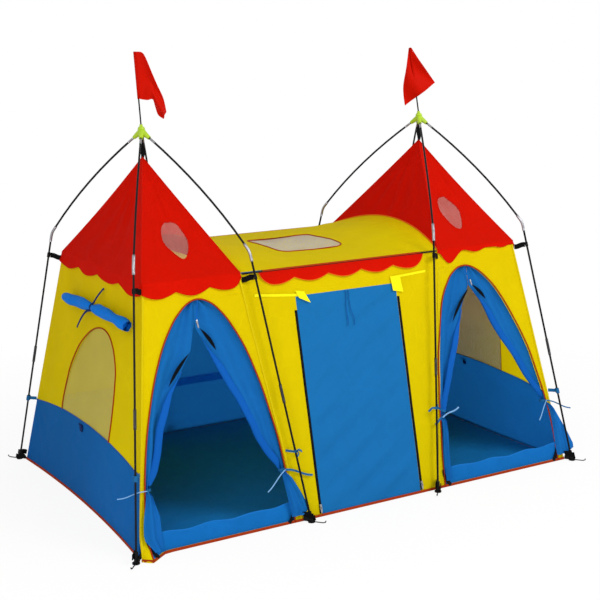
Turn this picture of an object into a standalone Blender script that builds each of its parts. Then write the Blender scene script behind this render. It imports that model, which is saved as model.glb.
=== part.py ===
"""Play tent with two towers: pole frames, hubs, flags and a canopy with a zipped door.

Metres, +Z up. The front faces -Y, the length lies along X, and the origin is on the
ground at the middle of the plan. "Left" is -X and "right" is +X.
"""
import math

import bmesh
import bpy
from mathutils import Vector

# Canopy, outer surfaces
TOWER_SPACING = 1.50
BASE_WIDTH = 0.77
BASE_DEPTH = 1.43
EAVE_WIDTH = 0.45
EAVE_DEPTH = 0.94
EAVE_HEIGHT = 1.075
ROOF_RISE = 0.471
FABRIC = 0.002
SEAM = 0.0004
ROOF_OVERHANG = SEAM + FABRIC * 1.25
HEM_HEIGHT = 0.012
HEM_THICKNESS = 0.004
BAND_HEIGHT = 0.376
BAND_CORNER_DROP = 0.052
BACK_PANEL_HEIGHT = 0.930
BACK_PANEL_HALF_WIDTH = 0.360
HEM_BOW = 0.035
HEM_BOW_HEIGHT = 0.300

# Pole frame
POLE_DIAMETER = 0.0095
FOOT_STANDOFF_X = 0.025
FOOT_STANDOFF_Y = 0.029
ELBOW_STANDOFF_X = 0.041
ELBOW_STANDOFF_Y = 0.022
ELBOW_RISE = 0.092
APEX_STRAP_LENGTH = 0.088
UPPER_POLE_BOW = 0.023
ELBOW_REACH = 0.042
ELBOW_BEND = 0.018
FERRULE_DIAMETER = 0.0125
LEG_FERRULE_LENGTH = 0.080
LEG_FERRULE_HEIGHT = 0.560
PUSH_FIT = 0.002

# Hubs and flagpoles
HUB_ARM = 0.058
HUB_ARM_MOUTH = 0.0085
HUB_ARM_ROOT = 0.0155
HUB_SOCKET_DEPTH = 0.028
HUB_DOME_RADIUS = 0.0175
HUB_DOME_HEIGHT = 0.013
HUB_COLLAR_RADIUS = 0.0075
HUB_COLLAR_HEIGHT = 0.020
HUB_BOSS_RADIUS = 0.008
HUB_BOSS_DROP = 0.036
FLAGPOLE_DIAMETER = 0.007
FLAGPOLE_LENGTH = 0.325
FLAGPOLE_LEAN_DEG = {"left": 3.0, "right": 8.0}
FLAG_HOIST = 0.200
FLAG_SLEEVE_CLEARANCE = 0.0003
FLAG_SLEEVE_WALL = 0.0012
FLAG_CLOTH = 0.0016
FLAG_FOLD_DEPTH = 0.010
FLAG_BEARING_DEG = -30.0

# Feet and clips on the legs
FOOT_PAD_RADIUS = 0.016
FOOT_PAD_THICKNESS = 0.006
FOOT_SOCKET_RADIUS = 0.009
FOOT_SOCKET_HEIGHT = 0.048
FOOT_SOCKET_FLOOR = 0.012
FOOT_STRAP_HEIGHT = 0.020
FOOT_STRAP_THICKNESS = 0.0025
STAKE_HOOK_REACH = 0.066
STAKE_HOOK_LIFT = 0.010
STAKE_HOOK_DIAMETER = 0.005
CLIP_WALL = 0.0032
CLIP_HEIGHT = 0.024
CLIP_DROP = 0.014
CLIP_STRAP_THICKNESS = 0.003
CLIP_MOUTH_DEG = 70.0

# Eave rods and apex straps
EAVE_ROD_DIAMETER = 0.007
APEX_STRAP_WIDTH = 0.012
APEX_STRAP_END_WIDTH = 0.018
APEX_STRAP_THICKNESS = 0.0025
APEX_STRAP_END_LENGTH = 0.016

# Tower fronts
TOWER_DOOR_BORDER = 0.040
TOWER_DOOR_HEAD_GAP = 0.085
SILL_HEIGHT = 0.085
CURTAIN_CLOTH = 0.002
CURTAIN_FOLD_DEPTH = 0.009
CURTAIN_SET_BACK = 0.006
CURTAIN_BELL = 0.012
CURTAIN_BULGE = 0.060
CURTAIN_HEM_HEIGHT = 0.030
CURTAIN_TIE_HEIGHT = 0.250
CURTAIN_TIE_WIDTH = 0.012
CURTAIN_GATHER = 0.016

# Tower roofs, windows and valances
ROOF_WINDOW_WIDTH = 0.110
ROOF_WINDOW_LENGTH = 0.200
ROOF_WINDOW_CENTRE = 0.210
VALANCE_DROP = 0.066
VALANCE_NOTCH = 0.022
SIDE_WINDOW_WIDTH = 0.580
SIDE_WINDOW_HEIGHT = 0.440
SIDE_WINDOW_SILL = 0.006
SIDE_WINDOW_LEAN = 0.110
FLAP_ROLL_LENGTH = 0.740
FLAP_ROLL_RADIUS = 0.030
FLAP_ROLL_HEIGHT = 0.896
FLAP_ROLL_SHIFT = -0.070
FLAP_TIE_PLACE = -0.050
FLAP_TIE_WIDTH = 0.040

# Centre section
CENTRE_DOOR_MARGIN = 0.100
CENTRE_DOOR_HEAD_GAP = 0.125
CENTRE_VALANCE_END_GAP = 0.090
CENTRE_VALANCE_END_ROUND = 0.060
CENTRE_ROOF_RISE_AT_TOWERS = 0.095
CENTRE_ROOF_RISE_AT_MIDDLE = 0.018
SKYLIGHT_WIDTH = 0.330
SKYLIGHT_DEPTH = 0.380
SKYLIGHT_SHIFT = -0.020
SKYLIGHT_CORNER_RADIUS = 0.060

# Zips of the centre door
ZIP_TAPE_WIDTH = 0.012
ZIP_TAPE_CLOTH = 0.001
ZIP_CHAIN_WIDTH = 0.005
ZIP_CHAIN_HEIGHT = 0.002
ZIP_HEAD_GAP = 0.060
SLIDER_WIDTH = 0.010
SLIDER_LENGTH = 0.020
SLIDER_HEIGHT = 0.005
SLIDER_CLEARANCE = 0.0004
SLIDER_REST_HEIGHT = 0.045
BRIDGE_HOLE_RADIUS = 0.0017
BRIDGE_WALL = 0.0012
BRIDGE_WIDTH = 0.0024
PULL_BAR = 0.0014
PULL_WIDTH = 0.0090
PULL_EYE_LENGTH = 0.0100
PULL_LENGTH = 0.026

# How finely round things are drawn
POLE_SIDES = 8
HUB_SIDES = 12
SCALLOP_STEPS = 6
ARCH_STEPS = 12
END_STEPS = 8

# Shapes given as shares of the sizes that they follow
ARCH_POWER_SHARES = (1.7, 0.53)
WINDOW_ARCH_POWER_SHARES = (2.5, 0.5)
LEFT_CURTAIN_EDGE_SHARES = (
    (0.92, 0.008), (0.85, 0.05), (0.80, 0.10), (0.71, 0.32), (0.67, 0.43), (0.55, 0.59),
    (0.45, 0.64), (0.32, 0.76), (0.17, 0.78), (0.06, 0.81),
)
RIGHT_CURTAIN_EDGE_SHARES = (
    (0.92, 0.008), (0.85, 0.11), (0.78, 0.19), (0.67, 0.26), (0.54, 0.42), (0.42, 0.61),
    (0.33, 0.78), (0.17, 0.86), (0.06, 0.82),
)
LEFT_FLAG_TOP_SHARES = ((0.004, 0.0), (0.15, -0.01), (0.23, -0.12), (0.33, -0.42),
                        (0.43, -0.72), (0.53, -1.0), (0.57, -1.30))
LEFT_FLAG_FOOT_SHARES = ((0.004, -1.0), (0.10, -1.02), (0.20, -1.03), (0.31, -1.02),
                         (0.35, -1.20), (0.39, -1.36), (0.50, -1.45))
RIGHT_FLAG_TOP_SHARES = ((0.03, 0.0), (0.17, -0.28), (0.34, -0.57), (0.51, -0.86))
RIGHT_FLAG_FOOT_SHARES = ((-0.03, 0.0), (-0.114, -0.53), (-0.215, -0.97), (-0.23, -1.36))
BAND_RISE_SHARES = (0.0, 0.12, 0.28, 0.50, 0.75, 1.0)

# Heights that follow from the sizes above
WALL_FOOT = HEM_HEIGHT + SEAM
WALL_TOP = EAVE_HEIGHT - SEAM
BAND_CORNER_HEIGHT = BAND_HEIGHT - BAND_CORNER_DROP

# Signs of X and Y
TOWERS = {"left": -1, "right": 1}
FACES = {"front": -1, "back": 1}
UP = Vector((0, 0, 1))


def clear_scene():
    for item in list(bpy.data.objects):
        bpy.data.objects.remove(item, do_unlink=True)


def material(name, colour, roughness, metallic=0.0, alpha=1.0):
    """One Principled material with the colour given in linear values."""
    made = bpy.data.materials.new(name)
    made.use_nodes = True
    shader = made.node_tree.nodes["Principled BSDF"]
    shader.inputs["Base Color"].default_value = (*colour, 1.0)
    shader.inputs["Roughness"].default_value = roughness
    shader.inputs["Metallic"].default_value = metallic
    shader.inputs["Alpha"].default_value = alpha
    return made


def mesh_object(name, solid):
    """Object made of a closed solid, a (points, faces) pair."""
    points, faces = solid
    mesh = bpy.data.meshes.new(name)
    build = bmesh.new()
    corners = [build.verts.new(point) for point in points]
    for face in faces:
        build.faces.new([corners[i] for i in face])
    bmesh.ops.recalc_face_normals(build, faces=build.faces)
    build.to_mesh(mesh)
    build.free()
    made = bpy.data.objects.new(name, mesh)
    bpy.context.scene.collection.objects.link(made)
    return made


def node(name, solid, finish, smooth=False):
    """Make one named piece of the tent out of a closed solid."""
    made = mesh_object(name, solid)
    if smooth:
        made.data.shade_smooth()
        made.data.set_sharp_from_angle(angle=math.radians(40))
    made.data.materials.append(finish)
    return made


def combine(base, tool, operation):
    """Join, cut or intersect two closed solids with an exact Boolean."""
    holders = [mesh_object("step", base), mesh_object("step", tool)]
    cut = holders[0].modifiers.new("combine", "BOOLEAN")
    cut.operation = operation
    cut.solver = "EXACT"
    cut.object = holders[1]
    depsgraph = bpy.context.evaluated_depsgraph_get()
    result = holders[0].evaluated_get(depsgraph).to_mesh()
    points = [vertex.co.copy() for vertex in result.vertices]
    faces = [tuple(face.vertices) for face in result.polygons]
    for holder in holders:
        bpy.data.objects.remove(holder, do_unlink=True)
    return points, faces


def prism(first, second):
    """Solid between two matching outlines."""
    count = len(first)
    faces = [tuple(range(count)), tuple(range(2 * count - 1, count - 1, -1))]
    for i in range(count):
        j = (i + 1) % count
        faces.append((i, j, count + j, count + i))
    return list(first) + list(second), faces


def ring_prism(outer_low, inner_low, outer_high, inner_high):
    """Closed ring between two pairs of matching loops."""
    count = len(outer_low)
    points = list(outer_low) + list(inner_low) + list(outer_high) + list(inner_high)
    faces = []
    for i in range(count):
        j = (i + 1) % count
        faces.append((i, j, 2 * count + j, 2 * count + i))
        faces.append((count + i, count + j, 3 * count + j, 3 * count + i))
        faces.append((i, j, count + j, count + i))
        faces.append((2 * count + i, 2 * count + j, 3 * count + j, 3 * count + i))
    return points, faces


def sheet(front, back):
    """Solid between two matching grids of points, each a list of rows."""
    rows, columns = len(front), len(front[0])
    points = [point for row in front for point in row] + [point for row in back for point in row]
    offset = rows * columns
    faces = []
    for i in range(rows - 1):
        for j in range(columns - 1):
            a = i * columns + j
            quad = (a, a + 1, a + columns + 1, a + columns)
            faces.append(quad)
            faces.append(tuple(offset + k for k in quad))
    rim = [j for j in range(columns)]
    rim += [i * columns + columns - 1 for i in range(1, rows)]
    rim += [(rows - 1) * columns + j for j in range(columns - 2, -1, -1)]
    rim += [i * columns for i in range(rows - 2, 0, -1)]
    for k, a in enumerate(rim):
        b = rim[(k + 1) % len(rim)]
        faces.append((a, b, offset + b, offset + a))
    return points, faces


def sweep_rings(points, radii, sides):
    """Rings of points round a path, with the path's own twist-free frame."""
    points = [Vector(point) for point in points]
    if not isinstance(radii, (list, tuple)):
        radii = [radii] * len(points)
    rings = []
    side = None
    for i, point in enumerate(points):
        ahead = points[min(i + 1, len(points) - 1)]
        behind = points[max(i - 1, 0)]
        along = (ahead - behind).normalized()
        if side is None:
            side = along.orthogonal()
        side = (side - along * side.dot(along)).normalized()
        other = along.cross(side)
        ring = []
        for k in range(sides):
            turn = 2 * math.pi * k / sides
            ring.append(point + radii[i] * (math.cos(turn) * side + math.sin(turn) * other))
        rings.append(ring)
    return rings


def bar(points, radii, sides=POLE_SIDES):
    """Round solid bar along a path."""
    rings = sweep_rings(points, radii, sides)
    corners = [point for ring in rings for point in ring]
    faces = [tuple(range(sides)), tuple(range(len(corners) - sides, len(corners)))]
    for i in range(len(rings) - 1):
        for k in range(sides):
            a, b = i * sides + k, i * sides + (k + 1) % sides
            faces.append((a, b, b + sides, a + sides))
    return corners, faces


def bore_radius(radius, sides, clearance=SEAM):
    """Corner radius of a faceted bore whose flats clear a bar of this radius."""
    return (radius + clearance) / math.cos(math.pi / sides)


def curve_between(start, pull, end, steps):
    """Points on a quadratic curve from start to end, drawn towards pull."""
    points = []
    for i in range(steps + 1):
        t = i / steps
        points.append((1 - t) ** 2 * start + 2 * t * (1 - t) * pull + t * t * end)
    return points


def mirrored(solid, x_sign, y_sign, x_shift):
    """A solid made for the +X +Y corner of a tower at the origin, put at another corner."""
    points, faces = solid
    moved = [Vector((x_shift + x_sign * p[0], y_sign * p[1], p[2])) for p in points]
    return moved, faces


def tower_x(tower):
    return TOWERS[tower] * TOWER_SPACING / 2


def corner_places():
    """Every leg's name stem, tower, X sign and Y sign, outer corners first."""
    places = []
    for tower, t_sign in TOWERS.items():
        for face, y_sign in FACES.items():
            for reach, outward in (("outer", 1), ("inner", -1)):
                places.append((f"{tower}_{face}_{reach}", tower, t_sign * outward, y_sign))
    return places


# Canopy surfaces: places on the four sloping walls

def tower_half_width(z):
    return (BASE_WIDTH - (BASE_WIDTH - EAVE_WIDTH) * z / EAVE_HEIGHT) / 2


def half_depth(z):
    return (BASE_DEPTH - (BASE_DEPTH - EAVE_DEPTH) * z / EAVE_HEIGHT) / 2


def end_x(z):
    return TOWER_SPACING / 2 + tower_half_width(z)


def inner_x(z):
    return TOWER_SPACING / 2 - tower_half_width(z)


def face_point(face, x, z, out=0.0):
    """A point on the front or back wall, moved outward along Y by out."""
    return Vector((x, FACES[face] * (half_depth(z) + out), z))


def end_point(tower, y, z, out=0.0):
    """A point on a tower's end wall, moved outward along X by out."""
    return Vector((TOWERS[tower] * (end_x(z) + out), y, z))


def face_panel(face, outline, out=0.0, thickness=FABRIC):
    outer = [face_point(face, x, z, out) for x, z in outline]
    inner = [face_point(face, x, z, out - thickness) for x, z in outline]
    return prism(outer, inner)


def end_panel(tower, outline, out=0.0, thickness=FABRIC):
    outer = [end_point(tower, y, z, out) for y, z in outline]
    inner = [end_point(tower, y, z, out - thickness) for y, z in outline]
    return prism(outer, inner)


# Pole frame

def leg_line():
    """Foot and elbow of the +X +Y leg of a tower at the origin."""
    foot = Vector((BASE_WIDTH / 2 + FOOT_STANDOFF_X, BASE_DEPTH / 2 + FOOT_STANDOFF_Y, 0))
    elbow = Vector((EAVE_WIDTH / 2 + ELBOW_STANDOFF_X, EAVE_DEPTH / 2 + ELBOW_STANDOFF_Y,
                    EAVE_HEIGHT + ELBOW_RISE))
    return foot, elbow


def leg_at(z):
    foot, elbow = leg_line()
    return foot + (elbow - foot) * z / elbow.z


def leg_direction():
    foot, elbow = leg_line()
    return (elbow - foot).normalized()


def hub_centre():
    return Vector((0, 0, EAVE_HEIGHT + ROOF_RISE + APEX_STRAP_LENGTH + HUB_BOSS_DROP))


def upper_pole_curve():
    """Elbow end, pull point and hub mouth of the bowed upper pole."""
    elbow = leg_line()[1]
    centre = hub_centre()
    along = (centre - elbow).normalized()
    mouth = centre - along * HUB_ARM
    outward = along.cross(UP).cross(along).normalized()
    pull = (elbow + mouth) / 2 + outward * 2 * UPPER_POLE_BOW
    return elbow, pull, mouth


def upper_pole_directions():
    elbow, pull, mouth = upper_pole_curve()
    return (pull - elbow).normalized(), (mouth - pull).normalized()


def leg_pole():
    """Straight lower pole with the sleeve of its joint part way up."""
    start = leg_line()[0] + leg_direction() * (FOOT_SOCKET_FLOOR + SEAM) / leg_direction().z
    end = leg_line()[1] - leg_direction() * (ELBOW_BEND + PUSH_FIT)
    middle = leg_at(LEG_FERRULE_HEIGHT)
    half = leg_direction() * LEG_FERRULE_LENGTH / 2
    pole, sleeve = POLE_DIAMETER / 2, FERRULE_DIAMETER / 2
    stations = [(start, pole), (middle - half, pole), (middle - half, sleeve),
                (middle + half, sleeve), (middle + half, pole), (end, pole)]
    return bar([p for p, _ in stations], [r for _, r in stations])


def upper_pole():
    """Bowed upper pole with the bent ferrule fixed on its foot, open to the leg's top."""
    elbow, pull, mouth = upper_pole_curve()
    first, last = upper_pole_directions()
    along = leg_direction()
    pole, sleeve = POLE_DIAMETER / 2, FERRULE_DIAMETER / 2
    bend = curve_between(elbow - along * ELBOW_BEND, elbow, elbow + first * ELBOW_BEND, 5)
    sleeve_top = elbow + first * ELBOW_REACH
    stations = [(elbow - along * ELBOW_REACH, sleeve)] + [(point, sleeve) for point in bend]
    stations += [(sleeve_top, sleeve), (sleeve_top, pole)]
    stations += [(point, pole) for point in curve_between(sleeve_top, pull, mouth, 8)[1:]]
    stations.append((mouth + last * (HUB_SOCKET_DEPTH - PUSH_FIT), pole))
    solid = bar([p for p, _ in stations], [r for _, r in stations])
    bore = bar([elbow - along * (ELBOW_REACH + sleeve), elbow - along * ELBOW_BEND],
               bore_radius(pole, POLE_SIDES))
    return combine(solid, bore, "DIFFERENCE")


def foot():
    """Foot with a pole socket, a strap to the hem's corner and a stake hook."""
    ground = leg_line()[0]
    along = leg_direction()
    diagonal = Vector((FOOT_STANDOFF_X, FOOT_STANDOFF_Y, 0)).normalized()
    pad = []
    for k in range(HUB_SIDES):
        turn = 2 * math.pi * k / HUB_SIDES
        pad.append(ground + FOOT_PAD_RADIUS * Vector((math.cos(turn), math.sin(turn), 0)))
    solid = prism(pad, [point + UP * FOOT_PAD_THICKNESS for point in pad])
    socket = bar([ground + along * FOOT_PAD_THICKNESS / 2, ground + along * FOOT_SOCKET_HEIGHT],
                 FOOT_SOCKET_RADIUS, HUB_SIDES)
    solid = combine(solid, socket, "UNION")
    hem = Vector((BASE_WIDTH / 2, BASE_DEPTH / 2, 0)) + diagonal * (SEAM + FOOT_STRAP_THICKNESS / 2)
    across = diagonal.cross(UP) * FOOT_STRAP_THICKNESS / 2
    low = [hem + across, hem - across, ground - across, ground + across]
    strap = prism([point + UP * FOOT_PAD_THICKNESS / 3 for point in low],
                  [point + UP * FOOT_STRAP_HEIGHT for point in low])
    solid = combine(solid, strap, "UNION")
    radius = STAKE_HOOK_DIAMETER / 2
    reach = diagonal * STAKE_HOOK_REACH
    hook = [ground + UP * radius * 1.2,
            ground + reach * 0.8 + UP * radius * 1.2,
            ground + reach * 0.95 + UP * (radius * 1.2 + STAKE_HOOK_LIFT * 0.3),
            ground + reach + UP * (radius * 1.2 + STAKE_HOOK_LIFT)]
    solid = combine(solid, bar(hook, radius, 6), "UNION")
    inner = bore_radius(POLE_DIAMETER / 2, HUB_SIDES)
    bore = bar([ground + along * FOOT_SOCKET_FLOOR / along.z,
                ground + along * (FOOT_SOCKET_HEIGHT + FOOT_SOCKET_RADIUS)], inner, HUB_SIDES)
    return combine(solid, bore, "DIFFERENCE")


def mast_direction(tower):
    lean = math.radians(FLAGPOLE_LEAN_DEG[tower])
    bearing = math.radians(FLAG_BEARING_DEG)
    across = Vector((math.cos(bearing), math.sin(bearing), 0))
    return UP * math.cos(lean) - across * math.sin(lean)


def hub(tower):
    """Four-armed hub: domed middle, pole sockets, flagpole collar and a boss below."""
    centre = hub_centre()
    mast = mast_direction(tower)
    mouth = upper_pole_curve()[2]
    last = upper_pole_directions()[1]
    rings = 4
    profile = []
    for i in range(rings + 1):
        rise = math.pi * i / rings - math.pi / 2
        profile.append((centre + UP * HUB_DOME_HEIGHT * math.sin(rise),
                        HUB_DOME_RADIUS * max(math.cos(rise), 0.2)))
    solid = bar([p for p, _ in profile], [r for _, r in profile], HUB_SIDES)
    inner = bore_radius(POLE_DIAMETER / 2, HUB_SIDES)
    bores = []
    for x_sign in (-1, 1):
        for y_sign in (-1, 1):
            swell = (HUB_ARM_MOUTH + HUB_ARM_ROOT) / 2
            arm = bar([mouth, mouth + last * HUB_SOCKET_DEPTH, mouth + last * HUB_ARM * 0.9],
                      [HUB_ARM_MOUTH, swell, HUB_ARM_ROOT], HUB_SIDES)
            solid = combine(solid, mirrored(arm, x_sign, y_sign, 0), "UNION")
            bore = bar([mouth - last * HUB_ARM_MOUTH, mouth + last * HUB_SOCKET_DEPTH], inner,
                       HUB_SIDES)
            bores.append(mirrored(bore, x_sign, y_sign, 0))
    collar = bar([centre, centre + mast * HUB_COLLAR_HEIGHT], HUB_COLLAR_RADIUS, HUB_SIDES)
    solid = combine(solid, collar, "UNION")
    boss = bar([centre - UP * HUB_BOSS_DROP, centre], HUB_BOSS_RADIUS, HUB_SIDES)
    solid = combine(solid, boss, "UNION")
    mast_bore = bore_radius(FLAGPOLE_DIAMETER / 2, HUB_SIDES)
    bores.append(bar([centre + mast * HUB_COLLAR_RADIUS,
                      centre + mast * (HUB_COLLAR_HEIGHT + HUB_COLLAR_RADIUS)], mast_bore,
                     HUB_SIDES))
    for bore in bores:
        solid = combine(solid, bore, "DIFFERENCE")
    return mirrored(solid, 1, 1, tower_x(tower))


def mast_point(tower, distance):
    centre = hub_centre() + Vector((tower_x(tower), 0, 0))
    return centre + mast_direction(tower) * distance


def flagpole_top():
    """Distance of the flagpole's top from the hub's centre."""
    return HUB_COLLAR_RADIUS + SEAM + FLAGPOLE_LENGTH


def flagpole(tower):
    radius = FLAGPOLE_DIAMETER / 2
    top = flagpole_top()
    stations = [(HUB_COLLAR_RADIUS + SEAM, radius), (top - radius, radius), (top, radius * 0.5)]
    return bar([mast_point(tower, d) for d, _ in stations], [r for _, r in stations])


def flag_edge(tower, shares, steps):
    """Points along one edge of the hanging flag, from shares of its hoist."""
    bearing = math.radians(FLAG_BEARING_DEG)
    across = Vector((math.cos(bearing), math.sin(bearing), 0))
    hoist_top = mast_point(tower, flagpole_top())
    points = []
    for i in range(steps + 1):
        place = i / steps * (len(shares) - 1)
        k = min(int(place), len(shares) - 2)
        blend = place - k
        a = shares[k][0] * (1 - blend) + shares[k + 1][0] * blend
        b = shares[k][1] * (1 - blend) + shares[k + 1][1] * blend
        points.append(hoist_top + (across * a + mast_direction(tower) * b) * FLAG_HOIST)
    return points


def flag(tower):
    """Sleeve that hangs on the flagpole's top, with the cloth falling from it in folds."""
    shares = {"left": (LEFT_FLAG_TOP_SHARES, LEFT_FLAG_FOOT_SHARES),
              "right": (RIGHT_FLAG_TOP_SHARES, RIGHT_FLAG_FOOT_SHARES)}[tower]
    steps, columns = 10, 8
    top = flag_edge(tower, shares[0], steps)
    low = flag_edge(tower, shares[1], steps)
    mast = mast_direction(tower)
    bearing = math.radians(FLAG_BEARING_DEG)
    facing = Vector((math.sin(bearing), -math.cos(bearing), 0))
    inner = bore_radius(FLAGPOLE_DIAMETER / 2, POLE_SIDES, FLAG_SLEEVE_CLEARANCE)
    outer = inner + FLAG_SLEEVE_WALL
    stand = inner + FLAG_SLEEVE_WALL / 6 + FLAG_CLOTH
    front, back = [], []
    for i in range(steps + 1):
        share = i / steps
        near, far = [], []
        for j in range(columns + 1):
            across = j / columns
            wave = math.sin(math.pi * (2.5 * across + 1.2 * share)) * FLAG_FOLD_DEPTH
            swell = math.sin(math.pi * across) * math.sin(math.pi * min(share * 1.1, 1.0))
            depth = stand + wave * swell
            point = top[i] + (low[i] - top[i]) * across + facing * depth
            near.append(point)
            far.append(point - facing * FLAG_CLOTH)
        front.append(near)
        back.append(far)
    cloth = sheet(front, back)
    foot_end = mast_point(tower, flagpole_top() - FLAG_HOIST - FLAG_CLOTH)
    inside = mast_point(tower, flagpole_top() + SEAM)
    solid = combine(bar([foot_end, inside + mast * FLAG_SLEEVE_WALL], outer), cloth, "UNION")
    bore = bar([foot_end - mast * outer, inside], inner)
    return combine(solid, bore, "DIFFERENCE")


# Tower canopy

def clip_height():
    return EAVE_HEIGHT - CLIP_DROP


def clip_target():
    """Where a clip's strap is sewn into the valance, at the +X +Y corner."""
    z = clip_height()
    return Vector((tower_half_width(z) + SEAM + FABRIC / 2,
                   half_depth(z) + SEAM + FABRIC * 0.7, z))


def leg_clip():
    """C-shaped clip round the leg, with a strap sewn into the canopy's corner."""
    along = leg_direction()
    centre = leg_at(clip_height())
    towards = clip_target() - centre
    span = towards - along * towards.dot(along)
    first = span.normalized()
    second = along.cross(first)
    inner = bore_radius(POLE_DIAMETER / 2, POLE_SIDES * 2)
    outer = inner + CLIP_WALL
    strap = CLIP_STRAP_THICKNESS / 2
    spread = math.asin(strap / outer)
    arc = math.pi - math.radians(CLIP_MOUTH_DEG) / 2
    steps = POLE_SIDES
    outline = [(span.length, -strap), (span.length, strap)]
    for k in range(steps + 1):
        turn = spread + (arc - spread) * k / steps
        outline.append((outer * math.cos(turn), outer * math.sin(turn)))
    for k in range(2 * steps + 1):
        turn = arc * (1 - k / steps)
        outline.append((inner * math.cos(turn), inner * math.sin(turn)))
    for k in range(steps + 1):
        turn = -arc + (arc - spread) * k / steps
        outline.append((outer * math.cos(turn), outer * math.sin(turn)))
    half = along * CLIP_HEIGHT / 2
    loops = []
    for shift in (-half, half):
        loops.append([centre + shift + first * a + second * b for a, b in outline])
    return prism(*loops)


def apex_strap():
    """Strap with a wider stitched end, from the roof's peak up to the hub's boss."""
    low = EAVE_HEIGHT + ROOF_RISE - FABRIC * 2
    high = EAVE_HEIGHT + ROOF_RISE + APEX_STRAP_LENGTH - SEAM
    wide, slim, end = APEX_STRAP_END_WIDTH / 2, APEX_STRAP_WIDTH / 2, APEX_STRAP_END_LENGTH
    side = [(slim, low), (slim, high - end - slim / 2), (wide, high - end), (wide, high)]
    outline = side + [(-x, z) for x, z in reversed(side)]
    half = APEX_STRAP_THICKNESS / 2
    return prism([Vector((x, -half, z)) for x, z in outline],
                 [Vector((x, half, z)) for x, z in outline])


def roof_pyramid(tower):
    """Hollow four-sided roof, open below, a little wider than the walls."""
    x = tower_x(tower)
    half_x, half_y = EAVE_WIDTH / 2 + ROOF_OVERHANG, EAVE_DEPTH / 2 + ROOF_OVERHANG
    inset_x = FABRIC / math.sin(math.atan2(ROOF_RISE, half_x))
    inset_y = FABRIC / math.sin(math.atan2(ROOF_RISE, half_y))
    drop = FABRIC / math.cos(math.atan2(ROOF_RISE, half_x))
    corners = ((-1, -1), (1, -1), (1, 1), (-1, 1))
    outer = [Vector((x + sx * half_x, sy * half_y, EAVE_HEIGHT)) for sx, sy in corners]
    inner = [Vector((x + sx * (half_x - inset_x), sy * (half_y - inset_y), EAVE_HEIGHT))
             for sx, sy in corners]
    peak = EAVE_HEIGHT + ROOF_RISE
    points = outer + inner + [Vector((x, 0, peak)), Vector((x, 0, peak - drop))]
    faces = []
    for i in range(4):
        j = (i + 1) % 4
        faces += [(i, j, 8), (4 + j, 4 + i, 9), (i, 4 + i, 4 + j, j)]
    return points, faces


def roof_valance(tower):
    """Scalloped band round a tower's eave: front, end and back, in one strip."""
    t_sign = TOWERS[tower]
    stations = []
    for face, scallops in (("front", 3), (None, 4), ("back", 3)):
        steps = scallops * SCALLOP_STEPS
        for i in range(steps + 1):
            if i == 0 and stations:
                continue
            drop = scallop_drop(i / steps * scallops % 1.0 if i < steps else 1.0)
            stations.append((face, i / steps, drop))
    rows = []
    for out in (SEAM + FABRIC, SEAM):
        top, low = [], []
        for face, share, drop in stations:
            for z, row in ((EAVE_HEIGHT + FABRIC / 2, top), (EAVE_HEIGHT - drop, low)):
                end = TOWER_SPACING / 2 + tower_half_width(z) + out
                start = TOWER_SPACING / 2 - tower_half_width(z) - out
                depth = half_depth(z) + out
                if face is None:
                    row.append(Vector((t_sign * end, depth * (2 * share - 1), z)))
                else:
                    run = share if face == "front" else 1 - share
                    place = t_sign * (start + (end - start) * run)
                    row.append(Vector((place, FACES[face] * depth, z)))
        rows.append([top, low])
    return sheet(*rows)


def tower_roof(tower):
    """Roof with its window cut out, its valance, its corner clips and its hanging strap."""
    x = tower_x(tower)
    cutter = roof_window_prism(tower, 0.0, FABRIC * 2, -FABRIC * 4)
    solid = combine(roof_pyramid(tower), cutter, "DIFFERENCE")
    solid = combine(solid, roof_valance(tower), "UNION")
    clip = leg_clip()
    for x_sign in (-1, 1):
        for y_sign in (-1, 1):
            solid = combine(solid, mirrored(clip, x_sign, y_sign, x), "UNION")
    return combine(solid, mirrored(apex_strap(), 1, 1, x), "UNION")


def door_arch_half_width(z):
    """Half the width of a tower's door arch at height z."""
    rise_power, width_power = ARCH_POWER_SHARES
    share = min(z / (EAVE_HEIGHT - TOWER_DOOR_HEAD_GAP), 1.0)
    return (BASE_WIDTH / 2 - TOWER_DOOR_BORDER) * (1 - share ** rise_power) ** width_power


def arch_heights(foot_z, top_z, steps=ARCH_STEPS):
    """Heights up one side of an arch, closer together towards its top."""
    return [foot_z + (top_z - foot_z) * math.sin(math.pi / 2 * i / steps)
            for i in range(steps + 1)]


def tower_front_wall(tower):
    """Front wall with its door arch open down to the sill."""
    x, t_sign = tower_x(tower), TOWERS[tower]
    wall = face_panel("front", [
        (t_sign * (inner_x(WALL_FOOT) + SEAM / 2), WALL_FOOT),
        (t_sign * (inner_x(WALL_TOP) + SEAM / 2), WALL_TOP),
        (t_sign * end_x(WALL_TOP), WALL_TOP),
        (t_sign * end_x(WALL_FOOT), WALL_FOOT)])
    heights = arch_heights(SILL_HEIGHT, EAVE_HEIGHT - TOWER_DOOR_HEAD_GAP)
    arch = [(x + door_arch_half_width(z), z) for z in heights]
    arch += [(x - door_arch_half_width(z), z) for z in reversed(heights[:-1])]
    return combine(wall, face_panel("front", arch, FABRIC, FABRIC * 3), "DIFFERENCE")


def tie_share(z):
    """1 beside the curtain's tie, falling to 0 above and below it."""
    away = abs(z - CURTAIN_TIE_HEIGHT) - CURTAIN_TIE_WIDTH
    return max(0.0, 1.0 - max(away, 0.0) / (CURTAIN_TIE_WIDTH * 2))


def curtain_outer(z):
    """Distance of the curtain's sewn edge from the tower's middle, just inside the arch."""
    heights = arch_heights(SILL_HEIGHT, EAVE_HEIGHT - TOWER_DOOR_HEAD_GAP)
    for low, high in zip(heights, heights[1:]):
        if z <= high:
            share = (z - low) / (high - low)
            wide, slim = door_arch_half_width(low), door_arch_half_width(high)
            return wide + (slim - wide) * share - SEAM * 2
    return 0.0


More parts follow.
